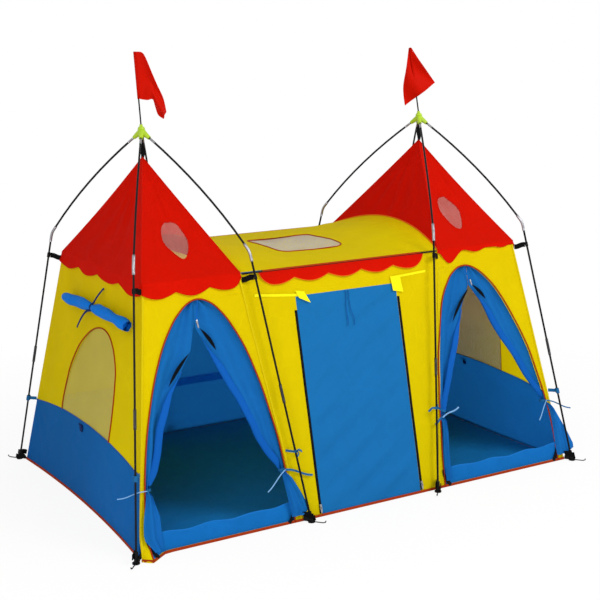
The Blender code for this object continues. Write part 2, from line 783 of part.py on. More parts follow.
def curtain_inner(z, side):
    """Distance of the curtain's free edge from the tower's middle at height z."""
    top = EAVE_HEIGHT - TOWER_DOOR_HEAD_GAP
    base = BASE_WIDTH / 2 - TOWER_DOOR_BORDER
    pinch = curtain_outer(z) - CURTAIN_GATHER
    shares = RIGHT_CURTAIN_EDGE_SHARES if side > 0 else LEFT_CURTAIN_EDGE_SHARES
    places = [(share * top, edge * base) for share, edge in shares]
    if z >= places[0][0]:
        return places[0][1]
    if z <= places[-1][0]:
        return places[-1][1]
    for (high, a), (low, b) in zip(places, places[1:]):
        if low <= z <= high:
            free = a + (b - a) * (high - z) / (high - low)
            held = tie_share(z)
            return free * (1 - held) + pinch * held
    return pinch


def curtain_bulge(z, side):
    """How far the right-hand curtain spills past the arch's edge below its tie."""
    free = CURTAIN_TIE_HEIGHT - CURTAIN_TIE_WIDTH * 2 - z
    if side < 0 or free <= 0.0:
        return 0.0
    return CURTAIN_BULGE * min(free / (CURTAIN_TIE_HEIGHT / 2), 1.0)


def curtain_heights():
    top = EAVE_HEIGHT - TOWER_DOOR_HEAD_GAP
    heights = [share * top for share in (0.965, 0.92, 0.88, 0.82, 0.75, 0.67, 0.59, 0.50, 0.42,
                                         0.34)]
    tie, width = CURTAIN_TIE_HEIGHT, CURTAIN_TIE_WIDTH
    heights += [tie + width * 2, tie + width, tie - width, tie - width * 2]
    low = CURTAIN_HEM_HEIGHT
    heights += [low + (tie - low) * share for share in (0.62, 0.40, 0.20, 0.0)]
    return heights


def curtain(tower, side):
    """Half of a tower's door, drawn aside in folds and gathered at its tie."""
    x = tower_x(tower)
    columns = 8
    top = EAVE_HEIGHT - TOWER_DOOR_HEAD_GAP
    outer_rows, inner_rows = [], []
    for z in curtain_heights():
        start, end = curtain_outer(z) + curtain_bulge(z, side), curtain_inner(z, side)
        loose = min(max((top - z) / (top - CURTAIN_TIE_HEIGHT) * 2.2, 0.0), 1.0)
        below = max(0.0, min(1.0, (CURTAIN_TIE_HEIGHT - z) / (CURTAIN_TIE_WIDTH * 2)))
        near, far = [], []
        for j in range(columns + 1):
            q = j / columns
            fold = math.sin(math.pi * 3 * q) * CURTAIN_FOLD_DEPTH * loose
            back_set = CURTAIN_SET_BACK * math.sin(math.pi * min(q * 1.3, 1.0)) * loose
            bell = below * (CURTAIN_CLOTH + SEAM * 2 + CURTAIN_BELL * math.sin(math.pi * q))
            out = fold - back_set
            if below > 0.0:
                out = abs(fold) * (1 - 0.4 * below) - back_set * (1 - below) + bell
            place = x + side * (start + (end - start) * q)
            near.append(face_point("front", place, z, out))
            far.append(face_point("front", place, z, out - CURTAIN_CLOTH))
        outer_rows.append(near)
        inner_rows.append(far)
    return sheet(outer_rows, inner_rows)


def window_half_width(z, width, foot_z, height):
    rise_power, width_power = WINDOW_ARCH_POWER_SHARES
    share = min(max((z - foot_z) / height, 0.0), 1.0)
    return width / 2 * (1 - share ** rise_power) ** width_power


def window_lean(z, foot_z):
    """How far the window has shifted towards the front at height z."""
    share = min(max((z - foot_z) / SIDE_WINDOW_HEIGHT, 0.0), 1.0)
    return -SIDE_WINDOW_LEAN * share * math.sqrt(share)


def side_window_outline(shrink):
    foot_z = BAND_HEIGHT + SIDE_WINDOW_SILL
    outline = []
    heights = arch_heights(foot_z, foot_z + SIDE_WINDOW_HEIGHT)
    for z in heights:
        y = window_half_width(z, SIDE_WINDOW_WIDTH, foot_z, SIDE_WINDOW_HEIGHT)
        outline.append((max(y - shrink, 0.0), max(z, foot_z + shrink) if z < heights[-1]
                        else z - shrink))
    outline += [(-y, z) for y, z in reversed(outline[:-1])]
    return [(y + window_lean(z, foot_z), z) for y, z in outline]


def band_top(y):
    """Height of the seam between an end wall's band and the wall above, lower at the corners."""
    share = y / half_depth(BAND_CORNER_HEIGHT)
    return BAND_HEIGHT - BAND_CORNER_DROP * share * share


def back_band_top(x):
    """Height of the back's blue cloth: a tall panel in the middle, the band beside it."""
    return BACK_PANEL_HEIGHT if abs(x) <= BACK_PANEL_HALF_WIDTH else BAND_CORNER_HEIGHT


def hem_bow(share, z):
    """How far an end wall's foot is drawn in between its corners."""
    rise = max(1 - z / HEM_BOW_HEIGHT, 0.0)
    return HEM_BOW * (1 - share * share) * rise * rise


def wall_end(z):
    """How far a tower's end wall runs towards the front and back walls."""
    return half_depth(z) - FABRIC - SEAM


def end_stations(reach):
    """Places across an end wall, from front to back."""
    return [reach * (i / END_STEPS * 2 - 1) for i in range(END_STEPS + 1)]


def side_wall(tower):
    """End wall over the arched seam with the band, with its window cut out."""
    outline = [(y, band_top(y) + SEAM) for y in end_stations(wall_end(BAND_CORNER_HEIGHT))]
    outline += [(wall_end(WALL_TOP), WALL_TOP), (-wall_end(WALL_TOP), WALL_TOP)]
    solid = end_panel(tower, outline)
    hole = end_panel(tower, side_window_outline(0.0), FABRIC, FABRIC * 3)
    return combine(solid, hole, "DIFFERENCE")


def side_window(tower):
    return end_panel(tower, side_window_outline(SEAM), -FABRIC / 4, FABRIC / 2)


def back_stations():
    """Places across the back, with a steep step at each side of the tall panel."""
    half, step = BACK_PANEL_HALF_WIDTH, SEAM * 2
    return [-half - step, -half, half, half + step]


def band_level(top, rise):
    """Height at a share of the way from the hem up to the band's top."""
    return WALL_FOOT + (top - WALL_FOOT) * rise


def band_end_row(side, rise):
    """Outer and inner points along one end of the band, from front to back."""
    pairs = []
    corner = band_level(BAND_CORNER_HEIGHT, rise)
    for share in end_stations(1.0):
        y = share * half_depth(corner) if share > -1 else -wall_end(corner)
        z = band_level(band_top(share * half_depth(BAND_CORNER_HEIGHT)), rise)
        x = end_x(z) - hem_bow(share, z)
        inward = FABRIC if share == 1 else 0.0
        pairs.append((Vector((side * x, y, z)), Vector((side * (x - FABRIC), y - inward, z))))
    return pairs


def lower_band():
    """Band round both ends with the back's band and panel, from the hem to the walls above."""
    outer, inner = [], []
    for rise in BAND_RISE_SHARES:
        pairs = band_end_row(-1, rise)
        for x in back_stations():
            z = band_level(back_band_top(x), rise)
            point = Vector((x, half_depth(z), z))
            pairs.append((point, point - Vector((0, FABRIC, 0))))
        pairs += reversed(band_end_row(1, rise))
        outer.append([near for near, _ in pairs])
        inner.append([far for _, far in pairs])
    return sheet(outer, inner)


def rolled_flap(tower):
    """Window cover rolled up over the window, drawn in where its tie holds it."""
    stations = 19
    points, radii = [], []
    for i in range(stations):
        share = i / (stations - 1) * 2 - 1
        y = FLAP_ROLL_SHIFT + FLAP_ROLL_LENGTH / 2 * share
        away = (y - FLAP_TIE_PLACE) / FLAP_TIE_WIDTH
        pinch = 0.45 * math.exp(-away * away)
        end = 0.25 * max(0.0, abs(share) - 0.85) / 0.15
        radius = FLAP_ROLL_RADIUS * (1 - pinch - end)
        radii.append(radius)
        points.append(end_point(tower, y, FLAP_ROLL_HEIGHT, FLAP_ROLL_RADIUS * 1.008 + SEAM))
    return bar(points, radii, HUB_SIDES)


def roof_slope():
    """Up-slope and outward directions of a tower roof's front face."""
    up_slope = Vector((0, EAVE_DEPTH / 2 + ROOF_OVERHANG, ROOF_RISE)).normalized()
    outward = Vector((0, -up_slope.z, up_slope.y))
    return up_slope, outward


def roof_window_prism(tower, shrink, top, bottom):
    """Drop-shaped prism through the front face of a tower's roof."""
    up_slope, outward = roof_slope()
    eave = Vector((tower_x(tower), -EAVE_DEPTH / 2 - ROOF_OVERHANG, EAVE_HEIGHT))
    centre = eave + up_slope * ROOF_WINDOW_CENTRE
    outline = []
    steps = 20
    for k in range(steps):
        turn = 2 * math.pi * k / steps
        width = ROOF_WINDOW_WIDTH / 2 - shrink
        length = ROOF_WINDOW_LENGTH / 2 - shrink
        taper = 1 + 0.35 * min(math.cos(turn), 0.0)
        outline.append(centre + Vector((1, 0, 0)) * width * math.sin(turn) * taper
                       + up_slope * length * math.cos(turn))
    return prism([p + outward * top for p in outline], [p + outward * bottom for p in outline])


def roof_window(tower):
    return roof_window_prism(tower, SEAM, -FABRIC / 4, -FABRIC * 3 / 4)


def scallop_drop(share):
    """How far the valance hangs at a share of one scallop's width."""
    return VALANCE_DROP - VALANCE_NOTCH * (1 - math.sin(math.pi * share))


# Centre section

def centre_door_half_width():
    return (TOWER_SPACING - BASE_WIDTH) / 2 - CENTRE_DOOR_MARGIN


def centre_door_top():
    return EAVE_HEIGHT - CENTRE_DOOR_HEAD_GAP


def centre_front_wall():
    """Wall round the door's bay, with the zips' tapes and chains sewn beside it."""
    half, head = centre_door_half_width() + SEAM, centre_door_top() + SEAM
    low, high = inner_x(WALL_FOOT) - SEAM / 2, inner_x(WALL_TOP) - SEAM / 2
    solid = face_panel("front", [
        (-low, WALL_FOOT), (-half, WALL_FOOT), (-half, head), (half, head), (half, WALL_FOOT),
        (low, WALL_FOOT), (high, WALL_TOP), (-high, WALL_TOP)])
    for side in (-1, 1):
        solid = combine(solid, zip_track(side), "UNION")
    return solid


def centre_door():
    half, head = centre_door_half_width(), centre_door_top()
    return face_panel("front", [(-half, WALL_FOOT), (half, WALL_FOOT), (half, head), (-half, head)])


def back_wall():
    low, high = BAND_CORNER_HEIGHT + SEAM, WALL_TOP
    half, head = BACK_PANEL_HALF_WIDTH + SEAM * 3, BACK_PANEL_HEIGHT + SEAM
    return face_panel("back", [(-end_x(low), low), (-half, low), (-half, head), (half, head),
                               (half, low), (end_x(low), low), (end_x(high), high),
                               (-end_x(high), high)])


def eave_rod(face):
    """Rod in the sleeve at the centre section's eave, from one tower's clips to the other's."""
    radius = EAVE_ROD_DIAMETER / 2
    z = EAVE_HEIGHT - radius - SEAM
    out = SEAM + radius
    pole, sewn = leg_at(z), clip_target()
    share = (half_depth(z) + out - sewn.y) / (pole.y - sewn.y)
    strap_x = sewn.x + max(share, 0.0) * (pole.x - sewn.x)
    clear = SEAM * 2 + CLIP_STRAP_THICKNESS + radius
    reach = TOWER_SPACING / 2 - strap_x - clear
    return bar([face_point(face, -reach, z, out), face_point(face, reach, z, out)], radius)


def centre_valance(face):
    """Scalloped band below the centre section's eave rod, rounded off at both ends."""
    scallops = 5
    half = inner_x(EAVE_HEIGHT) - CENTRE_VALANCE_END_GAP
    top = EAVE_HEIGHT - EAVE_ROD_DIAMETER - SEAM
    outline = [(half, top), (-half, top)]
    steps = scallops * SCALLOP_STEPS
    for i in range(steps + 1):
        share = i / steps
        drop = scallop_drop(share * scallops % 1.0 if i < steps else 1.0)
        x = half * (2 * share - 1)
        near = min((half - abs(x)) / CENTRE_VALANCE_END_ROUND, 1.0)
        rounding = math.sqrt(1 - (1 - near) ** 2)
        outline.append((x, top - FABRIC - (drop - EAVE_ROD_DIAMETER - FABRIC) * rounding))
    return face_panel(face, outline, SEAM + FABRIC)


def centre_roof_height(x, y):
    """Height of the centre roof's underside: arched at the towers, slack in the middle."""
    along = min(abs(x) / inner_x(EAVE_HEIGHT), 1.0) ** 2
    rise = (CENTRE_ROOF_RISE_AT_MIDDLE
            + (CENTRE_ROOF_RISE_AT_TOWERS - CENTRE_ROOF_RISE_AT_MIDDLE) * along)
    return EAVE_HEIGHT + rise * (1 - (2 * y / EAVE_DEPTH) ** 2)


def centre_roof_sheet(low_out, high_out):
    """Grid of the centre roof between two heights over its underside."""
    columns, rows = 12, 8
    roof_lean = (EAVE_WIDTH / 2 + ROOF_OVERHANG) / ROOF_RISE
    lower, upper = [], []
    for i in range(rows + 1):
        y = EAVE_DEPTH * (i / rows - 0.5)
        under, over = [], []
        for j in range(columns + 1):
            across = 2 * j / columns - 1
            lean = centre_roof_height(inner_x(EAVE_HEIGHT), y) - EAVE_HEIGHT
            end = inner_x(EAVE_HEIGHT) - ROOF_OVERHANG - SEAM * 2 + lean * roof_lean
            z = centre_roof_height(across * inner_x(EAVE_HEIGHT), y)
            under.append(Vector((across * end, y, z + low_out)))
            over.append(Vector((across * end, y, z + high_out)))
        lower.append(under)
        upper.append(over)
    return sheet(upper, lower)


def skylight_prism(shrink):
    """Upright prism with the skylight's rounded outline."""
    half_x, half_y = SKYLIGHT_WIDTH / 2 - shrink, SKYLIGHT_DEPTH / 2 - shrink
    radius = SKYLIGHT_CORNER_RADIUS - shrink
    outline = []
    steps = 4
    for quarter, (sx, sy) in enumerate(((1, 1), (-1, 1), (-1, -1), (1, -1))):
        for k in range(steps + 1):
            turn = math.pi / 2 * (quarter + k / steps)
            outline.append((sx * (half_x - radius) + radius * math.cos(turn),
                            SKYLIGHT_SHIFT + sy * (half_y - radius) + radius * math.sin(turn)))
    low = EAVE_HEIGHT - CENTRE_ROOF_RISE_AT_TOWERS
    high = EAVE_HEIGHT + CENTRE_ROOF_RISE_AT_TOWERS * 2
    return prism([Vector((x, y, low)) for x, y in outline],
                 [Vector((x, y, high)) for x, y in outline])


def ground_sheet():
    """Floor with the hem that stands up round its edge, to which the walls are sewn."""
    loops = []
    for out, z in ((0.0, 0.0), (0.0, HEM_HEIGHT), (-HEM_THICKNESS, HEM_HEIGHT),
                   (-HEM_THICKNESS, FABRIC)):
        loop = []
        for side in (1, -1):
            for share in end_stations(side):
                y = share * (half_depth(z) + out)
                x = end_x(z) + out - hem_bow(share, z)
                loop.append(Vector((side * x, y, z)))
        loops.append(loop)
    count = len(loops[0])
    points = [point for loop in loops for point in loop]
    faces = [tuple(range(count)), tuple(range(3 * count, 4 * count))]
    for row in range(3):
        for i in range(count):
            a, b = row * count + i, row * count + (i + 1) % count
            faces.append((a, b, b + count, a + count))
    return points, faces


# Zips of the centre door

def zip_profile_panel(side, profile, low, high):
    """Extrude an (across, out) profile up the wall beside the door."""
    edge = centre_door_half_width() + SEAM * 2
    loops = []
    for z in (low, high):
        loops.append([face_point("front", side * (edge + a), z, b) for a, b in profile])
    return prism(*loops)


def zip_track(side):
    """Tape with its raised chain, sunk a little into the wall that it is sewn to."""
    middle, chain = ZIP_TAPE_WIDTH / 2, ZIP_CHAIN_WIDTH / 2
    low, high = -FABRIC / 2, SEAM + ZIP_TAPE_CLOTH
    top = high + ZIP_CHAIN_HEIGHT
    profile = [(0, low), (ZIP_TAPE_WIDTH, low), (ZIP_TAPE_WIDTH, high), (middle + chain, high),
               (middle + chain, top), (middle - chain, top), (middle - chain, high), (0, high)]
    return zip_profile_panel(side, profile, WALL_FOOT + FABRIC, centre_door_top() - ZIP_HEAD_GAP)


def slider_top():
    return SEAM + ZIP_TAPE_CLOTH + SLIDER_CLEARANCE + SLIDER_HEIGHT


def bar_centre(side):
    """Middle of the pull's bar, inside the slider's bridge."""
    x = side * (centre_door_half_width() + SEAM * 2 + ZIP_TAPE_WIDTH / 2)
    return face_point("front", x, SLIDER_REST_HEIGHT, slider_top() + BRIDGE_HOLE_RADIUS)


def zip_slider(side):
    """Slider that grips the chain in its channel and carries a bridge for the pull."""
    middle, half = ZIP_TAPE_WIDTH / 2, SLIDER_WIDTH / 2
    chain = ZIP_CHAIN_WIDTH / 2 + SLIDER_CLEARANCE
    low = SEAM + ZIP_TAPE_CLOTH + SLIDER_CLEARANCE
    channel = SEAM + ZIP_TAPE_CLOTH + ZIP_CHAIN_HEIGHT + SLIDER_CLEARANCE
    high = slider_top()
    profile = [(middle - half, low), (middle - chain, low), (middle - chain, channel),
               (middle + chain, channel), (middle + chain, low), (middle + half, low),
               (middle + half, high), (middle - half, high)]
    rest = SLIDER_REST_HEIGHT
    solid = zip_profile_panel(side, profile, rest - SLIDER_LENGTH / 2, rest + SLIDER_LENGTH / 2)
    centre = bar_centre(side)
    outer = BRIDGE_HOLE_RADIUS + BRIDGE_WALL
    steps = 6
    arc = []
    for radius, order in ((outer, 1), (BRIDGE_HOLE_RADIUS, -1)):
        for k in range(steps + 1):
            turn = math.pi * (k / steps if order > 0 else 1 - k / steps)
            arc.append((-radius * math.sin(turn), radius * math.cos(turn)))
        foot_z = outer if order < 0 else -outer
        arc.append((BRIDGE_HOLE_RADIUS * 1.8, -radius if order > 0 else radius))
        arc.append((BRIDGE_HOLE_RADIUS * 1.8, -BRIDGE_HOLE_RADIUS if order > 0 else foot_z))
    loops = []
    for x in (-BRIDGE_WIDTH / 2, BRIDGE_WIDTH / 2):
        loops.append([centre + Vector((x, y, z)) for y, z in arc])
    return combine(solid, prism(*loops), "UNION")


def zip_pull(side):
    """Stirrup round the slider's bridge with a grip plate hanging from it along the wall."""
    centre = bar_centre(side)
    down = Vector((0, (BASE_DEPTH - EAVE_DEPTH) / 2 / EAVE_HEIGHT, 1))
    bar_half = PULL_BAR / 2
    outer_x, inner_x_half = PULL_WIDTH / 2, BRIDGE_WIDTH / 2 + PULL_BAR / 2
    top, eye = bar_half, PULL_EYE_LENGTH
    loops = []
    for y in (-bar_half, bar_half):
        for x, high, low in ((outer_x, top, -eye), (inner_x_half, -bar_half, -eye + PULL_BAR)):
            loops.append([centre + Vector((a, y, 0)) + down * b
                          for a, b in ((-x, high), (x, high), (x, low), (-x, low))])
    solid = ring_prism(loops[0], loops[1], loops[2], loops[3])
    grip = [(-outer_x, -eye + PULL_BAR / 2), (outer_x, -eye + PULL_BAR / 2),
            (outer_x * 0.8, -PULL_LENGTH + outer_x / 2), (outer_x * 0.45, -PULL_LENGTH),
            (-outer_x * 0.45, -PULL_LENGTH), (-outer_x * 0.8, -PULL_LENGTH + outer_x / 2)]
    plate = prism([centre + Vector((a, -bar_half, 0)) + down * b for a, b in grip],
                  [centre + Vector((a, bar_half, 0)) + down * b for a, b in grip])
    return combine(solid, plate, "UNION")


def build_frame():
    pole_finish = material("black_fibreglass", (0.012, 0.012, 0.014), 0.38)
    black_plastic = material("black_plastic", (0.015, 0.015, 0.016), 0.5)
    lime = material("lime_plastic", (0.42, 0.62, 0.03), 0.42)
    flag_cloth = material("flag_cloth", (0.66, 0.010, 0.003), 0.7)
    leg, upper, socket = leg_pole(), upper_pole(), foot()
    for stem, tower, x_sign, y_sign in corner_places():
        shift = tower_x(tower)
        node(stem + "_leg_pole", mirrored(leg, x_sign, y_sign, shift), pole_finish, True)
        node(stem + "_upper_pole", mirrored(upper, x_sign, y_sign, shift), pole_finish, True)
        node(stem + "_foot", mirrored(socket, x_sign, y_sign, shift), black_plastic)
    for tower in TOWERS:
        node(tower + "_hub", hub(tower), lime, True)
        node(tower + "_flagpole", flagpole(tower), pole_finish, True)
        node(tower + "_flag", flag(tower), flag_cloth)
    for face in FACES:
        node(face + "_eave_rod", eave_rod(face), pole_finish, True)


def build_canopy():
    red = material("red_cloth", (0.66, 0.010, 0.003), 0.7)
    yellow = material("yellow_cloth", (0.86, 0.66, 0.0), 0.7)
    blue = material("blue_cloth", (0.012, 0.19, 0.55), 0.65)
    floor_blue = material("floor_cloth", (0.006, 0.07, 0.16), 0.6)
    clear = material("clear_vinyl", (0.85, 0.75, 0.72), 0.15, 0.0, 0.5)
    mesh_cloth = material("mesh_cloth", (0.45, 0.40, 0.30), 0.8)
    for tower in TOWERS:
        node(tower + "_roof", tower_roof(tower), red)
        node(tower + "_roof_window", roof_window(tower), clear)
        node(tower + "_front_wall", tower_front_wall(tower), yellow)
        for name, side in TOWERS.items():
            node(tower + "_tower_" + name + "_curtain", curtain(tower, side), blue)
        node(tower + "_side_wall", side_wall(tower), yellow)
        node(tower + "_side_window", side_window(tower), mesh_cloth)
        node(tower + "_rolled_flap", rolled_flap(tower), blue, True)
    node("centre_front_wall", centre_front_wall(), yellow)
    node("centre_valance", centre_valance("front"), red)
    node("back_wall", back_wall(), yellow)
    node("lower_band", lower_band(), blue)
    roof = combine(centre_roof_sheet(0.0, FABRIC), skylight_prism(0.0), "DIFFERENCE")
    node("centre_roof", roof, yellow)
    skylight = combine(centre_roof_sheet(FABRIC / 4, FABRIC * 3 / 4), skylight_prism(SEAM),
                       "INTERSECT")
    node("skylight_mesh", skylight, mesh_cloth)
    node("ground_sheet", ground_sheet(), floor_blue)


def hang_on(piece, place):
    """Put an object's origin at the place that it turns about."""
    for vertex in piece.data.vertices:
        vertex.co -= place
    piece.location = place


def build_door():
    """The zipped centre door and its sliders, with origins on the lines they turn about."""
    blue = material("door_cloth", (0.012, 0.19, 0.55), 0.65)
    slider_metal = material("slider_metal", (0.80, 0.80, 0.80), 0.35, 0.6)
    hang_on(node("centre_door", centre_door(), blue), face_point("front", 0.0, centre_door_top()))
    for name, side in TOWERS.items():
        hang_on(node(name + "_zip_slider", zip_slider(side), slider_metal), bar_centre(side))
        hang_on(node(name + "_zip_pull", zip_pull(side), slider_metal), bar_centre(side))


def main():
    clear_scene()
    build_frame()
    build_canopy()
    build_door()


main()
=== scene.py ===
"""Looks of the kids play tent: cloth canopy, trim, poles, studio and camera."""

from math import atan2, copysign, cos, exp, hypot, pi, radians, sin, sqrt

import bmesh
import bpy
from mathutils import Matrix, Vector, noise


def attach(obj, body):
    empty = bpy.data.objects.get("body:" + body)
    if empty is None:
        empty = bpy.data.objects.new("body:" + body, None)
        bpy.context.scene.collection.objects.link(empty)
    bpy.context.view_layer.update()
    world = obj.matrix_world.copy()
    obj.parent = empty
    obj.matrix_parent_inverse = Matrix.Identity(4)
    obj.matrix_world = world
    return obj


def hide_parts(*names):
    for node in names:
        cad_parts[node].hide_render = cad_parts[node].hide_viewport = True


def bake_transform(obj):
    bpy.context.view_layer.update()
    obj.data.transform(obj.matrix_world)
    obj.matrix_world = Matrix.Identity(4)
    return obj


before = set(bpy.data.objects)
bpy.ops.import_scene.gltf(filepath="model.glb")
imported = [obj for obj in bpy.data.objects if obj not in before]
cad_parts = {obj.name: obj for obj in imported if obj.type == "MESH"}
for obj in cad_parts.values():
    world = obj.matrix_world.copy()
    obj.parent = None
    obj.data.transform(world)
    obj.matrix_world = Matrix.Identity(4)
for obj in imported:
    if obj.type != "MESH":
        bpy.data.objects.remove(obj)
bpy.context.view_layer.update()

# Sizes of the tent, in metres

TOWERS = {"left": -1, "right": 1}
SIDES = (-1, 1)
CORNERS = [(sx, sy) for sx in SIDES for sy in SIDES]
TOWER_SPACING = 1.50
BASE_WIDTH, BASE_DEPTH = 0.77, 1.43
EAVE_WIDTH, EAVE_DEPTH, EAVE_HEIGHT = 0.45, 0.94, 1.075
ROOF_RISE, ROOF_OVERHANG, ROOF_PULL = 0.471, 0.0029, 0.022
ROOF_INNER = (TOWER_SPACING - EAVE_WIDTH) / 2
WALL_TOP, FOOT = 1.072, 0.002
SEAM, CLOTH = 0.0004, 0.002
FRONT_FOOT_BULGE, FRONT_FOOT_PLACE = 0.060, 1.095

ARCH_HALF_WIDTH, ARCH_TOP = 0.345, 0.990
ARCH_POWERS = {"left": (1.7, 0.53), "right": (1.7, 0.50)}
ARCH_LEANS = {"left": 0.014, "right": -0.088}
SILL_HEIGHT, HEM_HEIGHT = 0.085, 0.012
DOOR_HALF_WIDTH, DOOR_TOP = 0.265, 0.95
DOOR_RIBBON = 0.155
ZIP_FOOT, ZIP_TOP, ZIP_WIDTH = 0.0144, 0.89, 0.012

# Shift, foot and top of the sliders in the arches
SLIDERS = {"left": (-0.003, 0.872, 0.907), "right": (-0.062, 0.893, 0.921)}

# Both ends of the tapes beside the door's head, and the corners of their folded ends, in mm
HEAD_TAPES = {
    "left": ((-468, 974), (-243, 952), (-266, 974), (-222, 966), (-252, 940), (-196, 914)),
    "right": ((438, 986), (248, 976), (238, 982), (292, 978), (242, 918), (298, 906)),
}

CURTAIN_FOOT, CURTAIN_FRONT, TURN_WIDTH = 0.030, 0.024, 0.034

# Each curtain, in mm: its tie's height; height and distance from the tower's middle of its free
# edge, of its outer edge below the tie and of its slit's ends; reach, drop, width and finish of
# its tie's outer and inner tail
CURTAINS = {
    ("left", "left"): (
        262, ((900, 5), (855, 19), (787, 37), (735, 73), (675, 113), (629, 145), (563, 171),
              (490, 205), (393, 230), (327, 254), (262, 303), (151, 274), (40, 277)),
        ((262, 322), (200, 336), (148, 350), (76, 360), (30, 330)), ((775, 56), (655, 163)),
        ((135, 2, 4, "pale_ribbon"), (-12, 30, 6, "ribbon"))),
    ("left", "right"): (
        233, ((875, -4), (817, 23), (737, 55), (691, 75), (635, 100), (563, 138), (506, 163),
              (449, 188), (388, 208), (314, 247), (264, 285), (233, 305), (150, 314), (30, 328)),
        ((233, 320), (204, 344), (129, 382), (60, 412), (45, 412), (30, 385)),
        ((870, 9), (774, 70)), ((130, 45, 9, "ribbon"), (-94, 80, 5, "pale_ribbon"))),
    ("right", "left"): (
        318, ((900, 62), (831, 99), (792, 119), (692, 153), (608, 179), (534, 212), (455, 240),
              (344, 281), (307, 300), (246, 298), (154, 303), (60, 305)),
        (), ((885, 75), (738, 192)), ((50, 20, 9, "ribbon"), (-85, -40, 7, "pale_ribbon"))),
    ("right", "right"): (
        300, ((897, -62), (825, -12), (759, 21), (682, 58), (613, 102), (535, 151), (442, 203),
              (360, 262), (299, 305), (248, 325), (150, 334), (40, 338)),
        ((300, 322), (244, 353), (137, 412), (62, 446), (45, 440), (30, 400)),
        ((897, -52), (822, 16)), ((150, 60, 6, "ribbon"), (-50, 90, 5, "pale_ribbon"))),
}

# Heights of the ties between legs and canopy
POLE_TIES = {("left", 1, -1): 0.310, ("right", -1, -1): 0.375,
             ("left", 1, 1): 0.335, ("right", -1, 1): 0.335, ("right", 1, 1): 0.335}
CORNER_KNOTS = {("left", -1, -1): 0.330, ("left", -1, 1): 0.330, ("right", 1, -1): 0.345}
POLE_TIE_TAILS = (0.034, 0.046)

BORDER_MIDDLE, BORDER_DROP = 0.376, 0.052
BORDER_CORNER = BORDER_MIDDLE - BORDER_DROP
WINDOW_HALF_WIDTH, WINDOW_TOP, WINDOW_LEAN = 0.29, 0.822, 0.110
WINDOW_SHARE = (WINDOW_TOP - BORDER_MIDDLE) / (WALL_TOP - BORDER_MIDDLE)
HEM_BOW = 0.035
FLAP_LENGTH, FLAP_RADIUS, FLAP_HEIGHT = 0.740, 0.030, 0.906
FLAP_SHIFT, FLAP_TIE = -0.070, -0.050
BACK_PANEL_HALF, BACK_PANEL_TOP, BACK_TAPE = 0.36, 0.93, 0.685

ROOF_WINDOW_WIDTH, ROOF_WINDOW_LENGTH, ROOF_WINDOW_CENTRE = 0.118, 0.208, 0.210
ROOF_WINDOW_ASIDE = {"left": 0.004, "right": -0.032}
ROOF_SAG, ROOF_SAG_INSIDE, ROOF_FLAT = 0.014, 0.004, (EAVE_WIDTH + EAVE_DEPTH + 0.10, 0.665)
VALANCE_DROP, VALANCE_NOTCH = 0.066, 0.022
VALANCE_ROUNDING, VALANCE_END, VALANCE_LEAST = 0.045, 0.016, 0.014
CENTRE_VALANCE_HALF, CENTRE_VALANCE_TOP = 0.435, 0.0078
CENTRE_VALANCE_ROUNDING, CENTRE_VALANCE_END = 0.060, 0.0098
SKYLIGHT_WIDTH, SKYLIGHT_DEPTH, SKYLIGHT_SHIFT, SKYLIGHT_CORNER = 0.330, 0.370, -0.034, 0.060
CENTRE_RISE = (0.018, 0.095)

LEG_FOOT, LEG_TOP = Vector((0.41, 0.744, 0.0)), Vector((0.266, 0.492, 1.167))
POLE_RADIUS, FERRULE_RADIUS, POLE_BOW = 0.00475, 0.00625, 0.023
HUB_HEIGHT, HUB_ARM, HUB_BOSS = 1.670, 0.058, 0.036
CLIP_DROP, CLIP_TURN = 0.014, radians(145)

# Heights of a leg's sleeve, reach of the elbow's sleeve along both poles, shares of the upper pole
# that its bright end covers, and shift and height of the webbing over a foot
LEG_SLEEVE, ELBOW_REACH, POLE_END = (0.520, 0.600), (0.0425, 0.030, 0.018), (0.945, 0.995)
FOOT_WEBBING = ((-0.0108, 0.018), (0.0108, 0.034))

# Flags: lean of the pole, and upper and lower edge in shares of the hoist from the pole's top
FLAG_HOIST, FLAG_TOP, FLAG_BEARING = 0.200, 0.3329, radians(-30)
FLAGS = {
    "left": (radians(3), ((0.004, 0), (0.15, -0.01), (0.23, -0.12), (0.33, -0.42), (0.43, -0.72),
                          (0.53, -1.0), (0.57, -1.30)),
             ((0.004, -1), (0.10, -1.02), (0.20, -1.03), (0.31, -1.02), (0.35, -1.20),
              (0.39, -1.36), (0.50, -1.45))),
    "right": (radians(8), ((0.03, 0), (0.17, -0.28), (0.34, -0.57), (0.51, -0.86)),
              ((-0.03, 0), (-0.15, -0.46), (-0.29, -0.96), (-0.31, -1.42))),
}

# Light of the world, and place, size and power of the lamps, which look at the tent's middle
WORLD_LEVEL, TENT_MIDDLE = 0.60, Vector((0, 0, 0.6))
LAMPS = {"key": ((2.2, -4.0, 4.4), 2.4, 168), "fill": ((-3.4, -3.4, 2.6), 2.6, 78)}
STUDIO_SIZE, STUDIO_DROP, STUDIO_GREY = 60, 0.0006, (0.9, 0.9, 0.9, 1)

# Azimuth, elevation and roll of the camera are in degrees
CAMERA_PLACE, CAMERA_LENS = (-2.893, -5.0346, 2.0540), 73.456
CAMERA_TURN = (30.3, 12.08, -0.64)


# Small helpers

def metres(value):
    """A table in millimetres as metres; the words in it stay."""
    if isinstance(value, tuple):
        return tuple(metres(part) for part in value)
    return value / 1000 if isinstance(value, int) else value


def clip(value):
    return min(max(value, 0.0), 1.0)


def smooth(value, reach):
    """Nought up to nought, one from reach on, smooth between."""
    share = clip(value / reach)
    return share * share * (3 - 2 * share)


def bell(away, width):
    return exp(-(away / width) ** 2)


def spaced(first, last, steps):
    return [first + (last - first) * k / steps for k in range(steps + 1)]


def shares(steps):
    return spaced(0.0, 1.0, steps)


